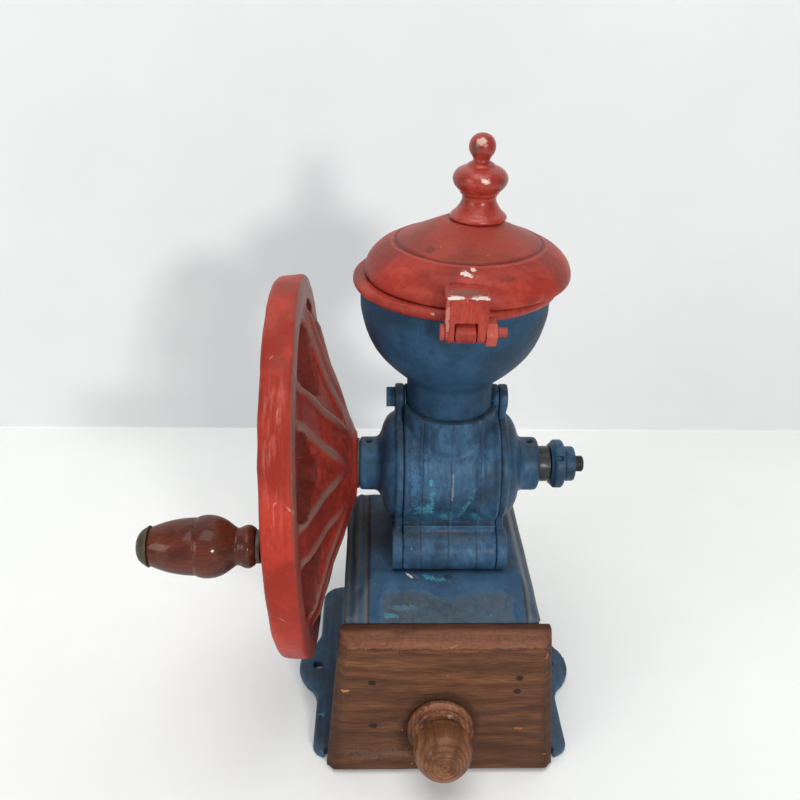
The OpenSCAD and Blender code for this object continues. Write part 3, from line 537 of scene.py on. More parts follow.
@dataclass(frozen=True)
class IronPaint(Finish):
    """Thick brush paint over a casting, rubbed, dusty and chipped."""

    base: Colour = (0.04, 0.1, 0.17)
    deep: Colour = (0.02, 0.05, 0.08)
    rubbed: Colour = (0.08, 0.17, 0.26)
    dust: Colour = (0.1, 0.11, 0.11)
    chip: Colour = (0.25, 0.33, 0.36)
    rust: Colour = (0.07, 0.035, 0.02)
    dusty: float = 0.0
    dust_share: float = 0.8
    rub_share: float = 0.5
    chip_share: float = 0.5
    gloss: float = 0.42
    mirror: float = 0.22
    stroke: Triple = (1.0, 1.0, 0.18)
    stroke_scale: float = 130.0
    blotch_scale: float = 26.0
    depth: float = 0.45
    seams: Tuple[float, ...] = ()
    seam_half: float = 0.6
    seam_sway: float = 1.6

    def make(self) -> Material:
        """Builds the material.

        Returns:
            The material.
        """
        made, graph, shader = self._shell()
        at = graph.place()
        age = Effects.use(graph, Effects.wear(), Blotch_Scale=self.blotch_scale, Dust_Reach=self.dusty)
        blotch, mottle, dust, edge, hollow, chip = age
        along = graph.stretch(at, self.stroke)
        stroke, rise = Effects.use(graph, Effects.strokes(), Vector=along, Scale=self.stroke_scale)
        coat = Coat(graph, at, mottle, graph.mix(graph.span(blotch, 0.38, 0.62, 0.0, 0.75), self.deep, self.base))
        coat.lay(self.rubbed, stroke, graph.span(blotch, 0.36, 0.58), self.rub_share)
        coat.lay(self.deep, graph.span(mottle, 0.52, 0.36, 0.0, 0.35))
        coat.lay(self.rubbed, edge, self.rub_share)
        coat.lay(self.rust, hollow, 0.7)
        soil = graph.times(dust, graph.span(mottle, 0.3, 0.6, 0.7 * self.dust_share, self.dust_share))
        coat.lay(self.dust, soil)
        self.special(coat)
        bare = graph.times(chip, self.chip_share)
        coat.lay(self.chip, bare)
        self.marked(coat)
        height = graph.plus(graph.times(rise, 0.7), graph.times(mottle, 0.3))
        height = graph.minus(height, graph.times(bare, 0.4))
        for seam_x in self.seams:
            wave = graph.sway(graph.noise(at, 55.0, 3.0), self.seam_sway * MM)
            off = graph.gap(graph.plus(graph.split(at)[0], wave), seam_x * MM)
            seam = graph.reach(off, self.seam_half, self.seam_half / 6)
            coat.lay(self.rust, seam, graph.span(graph.noise(at, 260.0, 4.0, 0.7), 0.36, 0.55), 0.6)
            height = graph.minus(height, graph.times(seam, 0.5))
        graph.feed(shader.inputs["Base Color"], coat.colour)
        shader.inputs["Specular IOR Level"].default_value = self.mirror
        rough = graph.plus(graph.times(mottle, 0.22), self.gloss - 0.11)
        graph.feed(shader.inputs["Roughness"], graph.math("ADD", rough, graph.times(soil, 0.4), clamp=True))
        self._bump(graph, shader, height, self.depth)
        return made


@dataclass(frozen=True)
class WheelPaint(IronPaint):
    """The flywheel's paint: dirt and painted shade on the flanks in the windows, dusty inner face and ridges, scuffs
    and painted sheen on the tread.
    """

    flank_dirt_and_shade: Colour = (0.036, 0.010, 0.007)
    brick: Colour = (0.15, 0.020, 0.013)
    scuff_and_sheen: Colour = (0.60, 0.20, 0.16)
    phase: float = 5.5
    ridge_at: float = 11.0
    ridge_half: float = 3.8
    spoke_turn: float = 22.5

    def special(self, coat: Coat) -> None:
        """Lays dirt and painted shade in the windows, dusts the face towards the mill, and lays scuffs and painted
        sheen on the tread.

        Args:
            coat: the paint so far.
        """
        graph, mottle = coat.graph, coat.mottle
        x, y, z = graph.split(graph.stretch(coat.at, shift=(0.0, -PLACE.shaft_y, -PLACE.shaft_z)))
        far = graph.length(y, z)
        side = graph.facing()[0]
        steep = graph.plus(graph.math("ABSOLUTE", side), graph.sway(mottle, 1.1))
        # dirt and painted shade: the steep flanks inside the windows are darkened, standing in for the shade of the
        # recess
        coat.lay(self.flank_dirt_and_shade, graph.band(far, (58.0, 64.0), (112.5, 114.5)), graph.span(steep, 0.85, 0.2), 0.9)
        coat.lay(self.brick, graph.band(far, (20.0, 30.0), (104.0, 108.0)), graph.span(mottle, 0.62, 0.40, 0.25, 0.8))
        angle = graph.minus(graph.math("ARCTAN2", z, graph.times(y, -1.0)), math.radians(self.phase))
        angle = graph.math("WRAP", angle, math.radians(self.spoke_turn), -math.radians(self.spoke_turn))
        off = graph.math("ABSOLUTE", graph.times(far, graph.math("SINE", angle)))
        near = graph.plus(graph.gap(off, self.ridge_at * MM), graph.sway(mottle, 6.0 * MM))
        ridge = graph.times(graph.reach(near, self.ridge_half, 1.2), graph.span(side, 0.1, 0.5))
        coat.lay(self.dust, ridge, graph.band(far, (32.0, 56.0), (100.0, 108.0)), 0.8)
        face = graph.times(graph.span(side, 0.45, 0.8), graph.reach(far, 102.5, 106.5))
        face = graph.times(face, graph.span(mottle, 0.3, 0.6, 0.25, 0.85))
        coat.lay(self.dust, face, graph.reach(z, 0.0, 60.0, 0.4, 1.0))
        # scuffs and painted sheen: lighter streaks on the near part of the tread, partly scratches, partly a painted
        # highlight
        streak = graph.noise(graph.stretch(coat.at, (420.0, 48.0, 48.0)), 1.0, 5.0, 0.65, 0.4)
        zone = graph.times(graph.reach(far, 117.5, 119.0), graph.reach(y, -20.0, -50.0), graph.reach(x, -88.0, -94.0))
        zone = graph.times(zone, graph.band(z, (15.0, 45.0), (85.0, 105.0)))
        coat.lay(self.scuff_and_sheen, graph.span(streak, 0.46, 0.74), zone, 0.8)


@dataclass(frozen=True)
class LidPaint(IronPaint):
    """The lid's paint: brown with use inside its ring groove, grime and painted shade in the groove, and a painted
    highlight along the lip outside it.
    """

    brown: Colour = (0.23, 0.052, 0.034)
    ring: float = 41.0
    lip: float = 2.1

    def special(self, coat: Coat) -> None:
        """Lays grime and painted shade in the groove and a painted highlight along the lip outside it, and browns what
        lies inside it.

        Args:
            coat: the paint so far.
        """
        graph, mottle = coat.graph, coat.mottle
        x, y, _ = graph.split(graph.stretch(coat.at, shift=(-PLACE.lid_x, -PLACE.shaft_y, 0.0)))
        far = graph.plus(graph.length(x, y), graph.sway(mottle, 2.2 * MM))
        inside = graph.reach(far, self.ring + 1.0, self.ring - 3.0)
        coat.lay(self.brown, inside, graph.span(mottle, 0.35, 0.6, 0.3, 0.6))
        # grime and painted shade: a dark line in the ring groove
        coat.lay(self.rust, graph.reach(graph.gap(far, self.ring * MM), 1.3, 0.4), 0.55)
        # painted highlight, partly rubbed paint: a lighter line along the lip just outside the groove
        coat.lay(self.rubbed, graph.reach(graph.gap(far, (self.ring + self.lip) * MM), 1.2, 0.3), 0.4)


@dataclass(frozen=True)
class BasePaint(IronPaint):
    """The base's paint: a dusty sunk field at the front with rubbed paint and a painted highlight along its border,
    grimy slopes at the sides.
    """

    field_dust: Colour = (0.075, 0.10, 0.12)
    grime: Colour = (0.125, 0.12, 0.105)
    middle_x: float = 1.8
    field_half: float = 41.0
    field_z: float = 105.6
    dip: float = 2.2
    dip_x: float = 3.8
    dip_half: float = 11.0
    crease: float = 48.5

    def special(self, coat: Coat) -> None:
        """Dusts the field, lays rubbed paint and a painted highlight along its border, and greys the side slopes.

        Args:
            coat: the paint so far.
        """
        graph, mottle = coat.graph, coat.mottle
        x, y, z = graph.split(coat.at)
        off = graph.math("DIVIDE", graph.minus(x, self.dip_x * MM), self.dip_half * MM)
        bell = graph.math("EXPONENT", graph.times(off, off, -1.0))
        under = graph.minus(graph.minus(self.field_z * MM, graph.times(bell, self.dip * MM)), z)
        out = graph.gap(x, self.middle_x * MM)
        depth = graph.math("MINIMUM", under, graph.times(graph.minus(self.field_half * MM, out), 0.5))
        ragged = graph.sway(mottle, 3.0 * MM)
        rough_depth = graph.plus(depth, ragged)
        shelf = graph.times(graph.reach(y, -16.0, -20.0), graph.reach(z, 96.5, 98.5))
        field = graph.times(graph.reach(rough_depth, -0.2, 0.8), shelf)
        coat.lay(self.field_dust, field, graph.span(mottle, 0.35, 0.6, 0.3, 0.7))
        # rubbed paint and painted highlight: a lighter line along the edge of the field's border
        line = graph.reach(graph.math("ABSOLUTE", rough_depth), 1.1, 0.2)
        coat.lay(self.rubbed, line, shelf, 0.3)
        coat.lay(self.base, shelf, graph.reach(depth, 0.0, -1.2), 0.55)
        out = graph.plus(out, graph.times(ragged, 0.6))
        bead = graph.span(graph.math("SINE", graph.times(out, 1150.0)), -0.5, 0.9, 0.15, 0.8)
        coat.lay(self.grime, graph.reach(out, 47.5, 49.5), graph.reach(z, 72.0, 84.0, 0.22, 1.0), bead)
        crease = graph.reach(graph.gap(out, self.crease * MM), 1.1, 0.2)
        coat.lay(self.rust, crease, graph.reach(z, 50.0, 60.0), 0.75)


@dataclass(frozen=True)
class TurnedWood(Finish):
    """Wood with rings and pores, its grain along one axis."""

    light: Colour = (0.2, 0.1, 0.065)
    dark: Colour = (0.075, 0.038, 0.025)
    worn: Colour = (0.28, 0.15, 0.1)
    nick: Colour = (0.42, 0.16, 0.05)
    centre: Triple = (0.0, 0.0, 0.0)
    order: str = "xyz"
    rings: float = 170.0
    waver: float = 0.02
    gloss: float = 0.5
    varnish: float = 0.0
    mirror: float = 0.14
    edge_share: float = 0.6
    ring_share: float = 0.45
    nick_share: float = 0.8
    patch_share: float = 0.0
    even: float = 0.0
    depth: float = 0.22

    def make(self) -> Material:
        """Builds the material.

        Returns:
            The material.
        """
        made, graph, shader = self._shell()
        at = graph.place()
        parts = dict(zip("xyz", graph.split(graph.stretch(at, shift=tuple(-v for v in self.centre)))))
        join = graph.add("CombineXYZ")
        for socket, letter in zip(join.inputs, self.order):
            graph.feed(socket, parts[letter])
        ring, pore, cloud = Effects.use(
            graph, Effects.grain(), Vector=join.outputs[0], Rings=self.rings, Waver=self.waver
        )
        age = Effects.use(graph, Effects.wear(), Blotch_Scale=38.0, Mottle_Scale=420.0)
        blotch, mottle, _, edge, hollow, chip = age
        coat = Coat(graph, at, mottle, graph.mix(graph.span(cloud, 0.25, 0.7, self.even, 1.0), self.dark, self.light))
        coat.lay(self.dark, ring, self.ring_share)
        coat.lay(self.dark, graph.minus(1.0, pore), 0.5)
        coat.lay(self.worn, edge, self.edge_share)
        coat.lay(self.dark, hollow, 0.6)
        if self.patch_share > 0:
            coat.lay(self.worn, graph.span(graph.noise(at, 85.0, 3.0, 0.55, 0.8), 0.56, 0.63), self.patch_share)
        self.special(coat)
        bare = graph.times(chip, self.nick_share)
        coat.lay(self.nick, bare)
        self.marked(coat)
        graph.feed(shader.inputs["Base Color"], coat.colour)
        graph.feed(shader.inputs["Roughness"], graph.plus(graph.times(mottle, 0.3), self.gloss - 0.15))
        shader.inputs["Specular IOR Level"].default_value = self.mirror
        shader.inputs["Coat Weight"].default_value = self.varnish
        shader.inputs["Coat Roughness"].default_value = 0.12
        height = graph.plus(graph.times(pore, 0.6), graph.times(blotch, 1.2))
        self._bump(graph, shader, graph.minus(height, graph.times(bare, 0.6)), self.depth)
        return made


@dataclass(frozen=True)
class BoardWood(TurnedWood):
    """The front board: a rubbed upper bevel, dark rims and a stain round the knob."""

    bevel_z: float = 88.4
    middle_x: float = -1.5
    stain: Point = (-2.0, 36.5)
    stain_r: float = 26.0

    def special(self, coat: Coat) -> None:
        """Rubs the upper bevel and darkens the rims.

        Args:
            coat: the wood so far.
        """
        graph, mottle = coat.graph, coat.mottle
        x, _, z = graph.split(coat.at)
        _, front, top = graph.facing()
        ragged = graph.sway(mottle, 6.0 * MM)
        high = graph.plus(z, ragged)
        bevel = graph.times(graph.reach(high, self.bevel_z + 0.1, self.bevel_z + 2.1), graph.span(front, -0.2, -0.45))
        coat.lay(self.worn, bevel, graph.span(mottle, 0.3, 0.62, 0.25, 0.7))
        coat.lay(self.dark, graph.span(top, 0.7, 0.9), graph.reach(z, 90.0, 94.0), 0.6)
        coat.lay(self.dark, graph.reach(graph.gap(high, self.bevel_z * MM), 1.1, 0.3), 0.45)
        coat.lay(self.dark, graph.reach(high, 85.0, 20.0, 0.0, 0.35))
        coat.lay(self.dark, graph.reach(graph.gap(x, self.middle_x * MM), 59.0, 65.5, 0.0, 0.55))
        far = graph.length(graph.minus(x, self.stain[0] * MM), graph.minus(z, self.stain[1] * MM))
        far = graph.plus(far, graph.times(ragged, 0.5))
        coat.lay(self.dark, graph.reach(far, self.stain_r, self.stain_r - 5.5, 0.0, 0.75))


@dataclass(frozen=True)
class OldMetal(Finish):
    """Bare metal, darkened by oil and rust."""

    base: Colour = (0.3, 0.29, 0.28)
    rust: Colour = (0.09, 0.05, 0.03)
    rusty: float = 0.5
    gloss: float = 0.38
    metal: float = 0.85
    depth: float = 0.12

    def make(self) -> Material:
        """Builds the material.

        Returns:
            The material.
        """
        made, graph, shader = self._shell()
        age = Effects.use(graph, Effects.wear(), Blotch_Scale=90.0, Mottle_Scale=500.0)
        blotch, mottle, _, _, hollow, _ = age
        rust = graph.math("ADD", graph.span(blotch, 0.62, 0.42, 0.0, self.rusty), graph.times(hollow, 0.5), clamp=True)
        colour = graph.mix(rust, self.base, self.rust)
        colour = graph.mix(graph.span(mottle, 0.55, 0.35, 0.0, 0.4), colour, self.rust)
        graph.feed(shader.inputs["Base Color"], colour)
        graph.feed(shader.inputs["Metallic"], graph.times(graph.minus(1.0, rust), self.metal))
        rough = graph.plus(graph.times(rust, 0.4), graph.times(mottle, 0.2))
        graph.feed(shader.inputs["Roughness"], graph.math("ADD", rough, self.gloss - 0.1, clamp=True))
        self._bump(graph, shader, mottle, self.depth)
        return made


@dataclass(frozen=True)
class Studio(Finish):
    """The pale table and wall, which show from their front only."""

    tone: Colour = (0.86, 0.87, 0.865)
    shade: float = 0.96

    def make(self) -> Material:
        """Builds the material.

        Returns:
            The material.
        """
        made, graph, shader = self._shell()
        cloud = graph.noise(graph.place(), 3.0, 5.0, 0.6)
        shade = tuple(v * self.shade for v in self.tone)
        graph.feed(shader.inputs["Base Color"], graph.mix(graph.span(cloud, 0.35, 0.65), shade, self.tone))
        shader.inputs["Roughness"].default_value = 0.7
        shader.inputs["Specular IOR Level"].default_value = 0.2
        veil = graph.add("MixShader")
        back = graph.add("NewGeometry").outputs["Backfacing"]
        for socket, value in zip(veil.inputs, (back, shader.outputs[0], graph.add("BsdfTransparent").outputs[0])):
            graph.feed(socket, value)
        graph.feed(made.node_tree.get_output_node("ALL").inputs["Surface"], veil.outputs[0])
        return made


BLUE = dict(
    base=(0.028, 0.085, 0.165), deep=(0.014, 0.036, 0.066), rubbed=(0.055, 0.155, 0.275),
    dust=(0.11, 0.115, 0.11), chip=(0.06, 0.30, 0.40), rust=(0.035, 0.022, 0.016),
)
RED = dict(
    base=(0.40, 0.034, 0.018), deep=(0.20, 0.022, 0.014), rubbed=(0.47, 0.085, 0.06),
    dust=(0.20, 0.115, 0.09), chip=(0.60, 0.42, 0.34), rust=(0.05, 0.016, 0.011),
)
CYAN, PALE, WHITE = (0.07, 0.34, 0.42), (0.24, 0.27, 0.24), (0.75, 0.66, 0.58)
NAIL, HOLE = (0.10, 0.035, 0.015), (0.018, 0.011, 0.008)


class Marks:
    """The larger chips, stains and nicks, by the piece that they are on; two pale chips on the finial carry a painted
    highlight too.
    """

    CASING = (
        Mark((-14.6, -22.5, 157.0), (5.5, 6.0, 3.6), CYAN, share=0.4, ragged=1.5),
        Mark((1.0, -17.0, 147.0), (4.0, 9.0, 5.0), CYAN, share=0.35, ragged=1.6),
        Mark((-8.8, -23.2, 163.0), (1.4, 4.0, 8.0), CYAN, share=0.4, ragged=1.5),
        Mark((12.5, -22.0, 160.0), (1.2, 8.0, 11.0), CYAN, (0, 20, 0), 0.35, 1.6),
        Mark((20.0, -17.0, 148.0), (2.0, 9.0, 6.0), CYAN, (0, -25, 0), 0.35, 1.6),
        Mark((3.5, -22.0, 174.0), (0.7, 6.0, 10.0), PALE, share=0.6, ragged=1.2),
        Mark((-19.0, -20.0, 176.0), (3.0, 6.0, 9.0), (0.05, 0.17, 0.33), share=0.6, ragged=0.9),
        Mark((3.0, -14.0, 136.0), (14.0, 7.0, 1.6), (0.12, 0.08, 0.06), share=0.6, ragged=0.8),
    )
    BOARD = tuple(
        Mark((x, PLACE.board_front(z), z), (2.6, 3.0, 1.9), tint, share=0.9, ragged=0.3)
        for x, z, tint in (
            (-44.5, 66.0, HOLE), (-43.5, 36.0, HOLE), (45.5, 69.0, HOLE), (44.5, 60.0, HOLE), (45.0, 33.0, NAIL)
        )
    ) + (
        Mark((-62.6, -75.4, 60.4), (5.2, 2.0, 0.9), (0.42, 0.19, 0.07), (0, -6, 0), 0.9),
        Mark((62.4, -70.8, 83.4), (1.5, 3.0, 4.2), (0.45, 0.13, 0.05), share=0.8),
        Mark((-39.5, -84.5, 16.0), (20.0, 2.5, 3.5), (0.15, 0.10, 0.075), share=0.3, ragged=0.9),
        Mark((46.0, -81.0, 33.5), (3.0, 3.0, 1.0), (0.36, 0.12, 0.05), share=0.7),
    )
    LID = (
        Mark((2.5, -33.6, 313.2), (4.4, 3.0, 1.0), WHITE, (0, 12, 0), 0.85, 0.9),
        Mark((6.3, -31.0, 314.8), (1.6, 1.6, 1.2), WHITE, share=0.65, ragged=0.8),
        Mark((-15.0, -12.5, 318.7), (3.0, 3.0, 2.0), (0.11, 0.03, 0.02), share=0.7),
        Mark((24.0, -35.0, 311.0), (5.0, 4.0, 1.2), (0.12, 0.03, 0.02), share=0.6, ragged=0.9),
    )
    SHELF = (
        Mark((-22.3, -26.7, 109.0), (4.6, 1.1, 2.2), WHITE, (0, 0, -39), 1.0, 0.2),
        Mark((-17.5, -28.0, 108.6), (2.6, 0.7, 2.0), (0.50, 0.20, 0.09), (0, 0, -30), 0.9),
        Mark((-8.0, -28.5, 108.4), (12.0, 2.0, 2.5), CYAN, (0, 0, -12), 0.55, 1.0),
        Mark((3.0, -28.0, 108.5), (3.0, 3.0, 2.5), HOLE, share=0.7, ragged=0.8),
        Mark((-24.0, -47.0, 101.5), (8.0, 2.0, 2.0), (0.10, 0.20, 0.24), share=0.5, ragged=1.0),
        Mark((-33.0, -52.0, 99.5), (5.0, 1.6, 2.0), CYAN, share=0.5, ragged=1.0),
    )
    FINIAL = (
        # chipped paint and painted highlight on the ball's top
        Mark((11.0, 8.2, 371.0), (2.9, 2.6, 1.5), (0.62, 0.46, 0.35), (0, 0, 20), 0.75, 0.7),
        Mark((8.0, 9.0, 367.0), (2.0, 2.4, 3.4), (0.09, 0.05, 0.03), share=0.8, ragged=1.2),
        # chipped paint and painted highlight on the bulb's front
        Mark((13.5, -0.2, 352.6), (2.3, 2.6, 1.3), (0.80, 0.62, 0.52), share=0.75, ragged=0.8),
        Mark((24.0, 4.0, 350.0), (3.6, 4.0, 3.0), (0.12, 0.06, 0.04), share=0.6, ragged=1.3),
    )
    HINGE = (
        Mark((-4.5, -56.5, 308.9), (4.5, 3.0, 0.9), WHITE, share=0.95, ragged=0.5),
        Mark((7.3, -56.5, 308.9), (5.5, 3.0, 0.8), WHITE, share=0.8, ragged=0.7),
        Mark((1.5, -50.0, 309.6), (9.5, 5.0, 1.2), (0.17, 0.10, 0.075), share=0.6, ragged=0.6),
        Mark((-8.2, -57.0, 298.0), (1.0, 2.5, 8.0), (0.55, 0.25, 0.2), share=0.6, ragged=0.8),
    )
    KNOB = (
        Mark((-2.0, -82.5, 54.0), (16.0, 4.0, 3.0), (0.33, 0.145, 0.085), share=0.6, ragged=0.9),
        Mark((-2.0, -88.0, 48.5), (14.0, 3.5, 3.0), HOLE, share=0.5, ragged=0.6),
    )


class Palette:
    """Every material of the mill, made once and found by its finish's name."""

    CASTINGS = (
        IronPaint(
            "blue_casting", Marks.CASING, **BLUE, dusty=0.05, seams=(2.6, -14.6, 20.2), rub_share=0.75,
            chip_share=0.8, stroke=(1.0, 0.6, 0.4),
        ),
        IronPaint("blue_plate", **BLUE, dusty=0.12, rub_share=0.6, chip_share=0.3),
        IronPaint(
            "blue_hopper", **{**BLUE, "base": (0.022, 0.070, 0.14), "rubbed": (0.040, 0.118, 0.21)}, dusty=-0.25,
            rub_share=0.35, chip_share=0.2, gloss=0.5, mirror=0.15, stroke=(1.0, 1.0, 0.5),
        ),
        BasePaint(
            "blue_base", Marks.SHELF, **BLUE, dusty=0.0, dust_share=0.7, rub_share=0.45, chip_share=0.7, gloss=0.5,
            stroke=(1.0, 0.3, 1.0),
        ),
        IronPaint("blue_screw", **BLUE, dusty=-0.2, rub_share=0.5, chip_share=0.2, stroke_scale=220.0),
        IronPaint(
            "red_screw", **{**RED, "base": (0.30, 0.045, 0.03), "chip": (0.7, 0.6, 0.55)}, dusty=-0.2,
            rub_share=0.6, chip_share=0.9, stroke_scale=220.0,
        ),
        WheelPaint(
            "red_wheel", **{**RED, "base": (0.45, 0.036, 0.019), "deep": (0.27, 0.026, 0.016)}, dusty=-0.05,
            dust_share=0.85, rub_share=0.3, mirror=0.1, chip_share=0.35, stroke=(1.0, 0.35, 0.35), stroke_scale=110.0,
        ),
        LidPaint(
            "red_lid", Marks.LID, **RED, dusty=-0.3, dust_share=0.35, mirror=0.18, rub_share=0.35, chip_share=0.25,
            stroke=(0.4, 1.0, 1.0), gloss=0.42,
        ),
        IronPaint(
            "red_finial", Marks.FINIAL, **RED, dusty=-0.5, dust_share=0.3, rub_share=0.3, chip_share=0.8, gloss=0.27,
            mirror=0.45, stroke=(1.0, 1.0, 0.5), stroke_scale=200.0,
        ),
        IronPaint(
            "red_hinge", Marks.HINGE, **RED, dusty=-0.15, dust_share=0.6, rub_share=0.5, chip_share=0.5,
            stroke_scale=220.0,
        ),
    )
    WOODS = (
        BoardWood(
            "drawer_wood", Marks.BOARD, light=(0.205, 0.085, 0.040), dark=(0.046, 0.019, 0.011),
            worn=(0.26, 0.10, 0.058), centre=(10.0, -90.0, -60.0), rings=105.0, waver=0.03, gloss=0.55, even=0.4,
        ),
        TurnedWood(
            "box_wood", light=(0.18, 0.10, 0.06), dark=(0.08, 0.042, 0.026), centre=(10.0, -90.0, -60.0),
            rings=105.0, waver=0.03, gloss=0.6,
        ),
        TurnedWood(
            "knob_wood", Marks.KNOB, light=(0.33, 0.135, 0.058), dark=(0.075, 0.027, 0.013),
            worn=(0.36, 0.15, 0.078), centre=(-2.0, -110.0, 42.0), order="yxz", rings=420.0, waver=0.007, gloss=0.45,
            varnish=0.1, ring_share=0.5, edge_share=0.45,
        ),
        TurnedWood(
            "grip_wood", light=(0.15, 0.027, 0.010), dark=(0.045, 0.008, 0.004), worn=(0.20, 0.085, 0.045),
            centre=(0.0, -83.0, 165.0), rings=120.0, waver=0.02, gloss=0.45, varnish=0.3, patch_share=0.15,
            edge_share=0.12, nick_share=0.1,
        ),
    )
    METALS = (
        OldMetal("bronze_cap", base=(0.10, 0.075, 0.042), rust=(0.035, 0.032, 0.018), rusty=0.6, gloss=0.38),
        OldMetal(
            "bright_steel", base=(0.045, 0.05, 0.055), rust=(0.012, 0.012, 0.012), rusty=0.6, gloss=0.24, metal=0.85
        ),
        OldMetal("dark_steel", base=(0.09, 0.08, 0.07), rusty=0.8, gloss=0.5, metal=0.6),
        OldMetal("burr_steel", base=(0.2, 0.2, 0.2), rusty=0.3, gloss=0.4, metal=0.9),
    )
    ROOM = (Studio("pale_table", tone=(0.90, 0.905, 0.885)), Studio("pale_wall", tone=(0.775, 0.785, 0.787)))

    def __init__(self) -> None:
        """Builds all the finishes."""
        finishes = self.CASTINGS + self.WOODS + self.METALS + self.ROOM
        self.made: Dict[str, Material] = {finish.name: finish.make() for finish in finishes}

    def dress(self, obj: Piece, *names: str) -> Piece:
        """Gives an object its materials, in slot order.

        Args:
            obj: the piece.
            names: finish names.

        Returns:
            The piece.
        """
        obj.data.materials.clear()
        for name in names:
            obj.data.materials.append(self.made[name])
        return obj


# ---------------------------------------------------------------- shaping


def link(name: str, data: bpy.types.ID) -> Piece:
    """Puts an object with this data in the scene.

    Args:
        name: its name.
        data: its mesh, lamp or camera.

    Returns:
        The object.
    """
    obj = bpy.data.objects.new(name, data)
    bpy.context.scene.collection.objects.link(obj)
    return obj


def mesh_of(bm: bmesh.types.BMesh, name: str) -> bpy.types.Mesh:
    """Turns a bmesh into a mesh and frees it.

    Args:
        bm: the bmesh.
        name: the mesh's name.

    Returns:
        The mesh.
    """
    mesh = bpy.data.meshes.new(name)
    bm.to_mesh(mesh)
    bm.free()
    return mesh


def ramp(value: float, low: float, high: float) -> float:
    """A smooth step from 0 at low to 1 at high.

    Args:
        value: the value.
        low: where it starts.
        high: where it ends.

    Returns:
        0 to 1.
    """
    t = min(max((value - low) / (high - low), 0.0), 1.0)
    return t * t * (3 - 2 * t)


@dataclass(frozen=True)
class Lump:
    """The uneven skin of a casting."""

    size: float
    height: float

    def at(self, place: Vector, normal: Vector, lift: float = 0.0) -> Vector:
        """Moves a vertex along its normal.

        Args:
            place: the vertex, in millimetres.
            normal: its normal.
            lift: how far all vertices move.

        Returns:
            Where it goes.
        """
        return place + normal * (noise.noise(place / self.size) * self.height + lift)


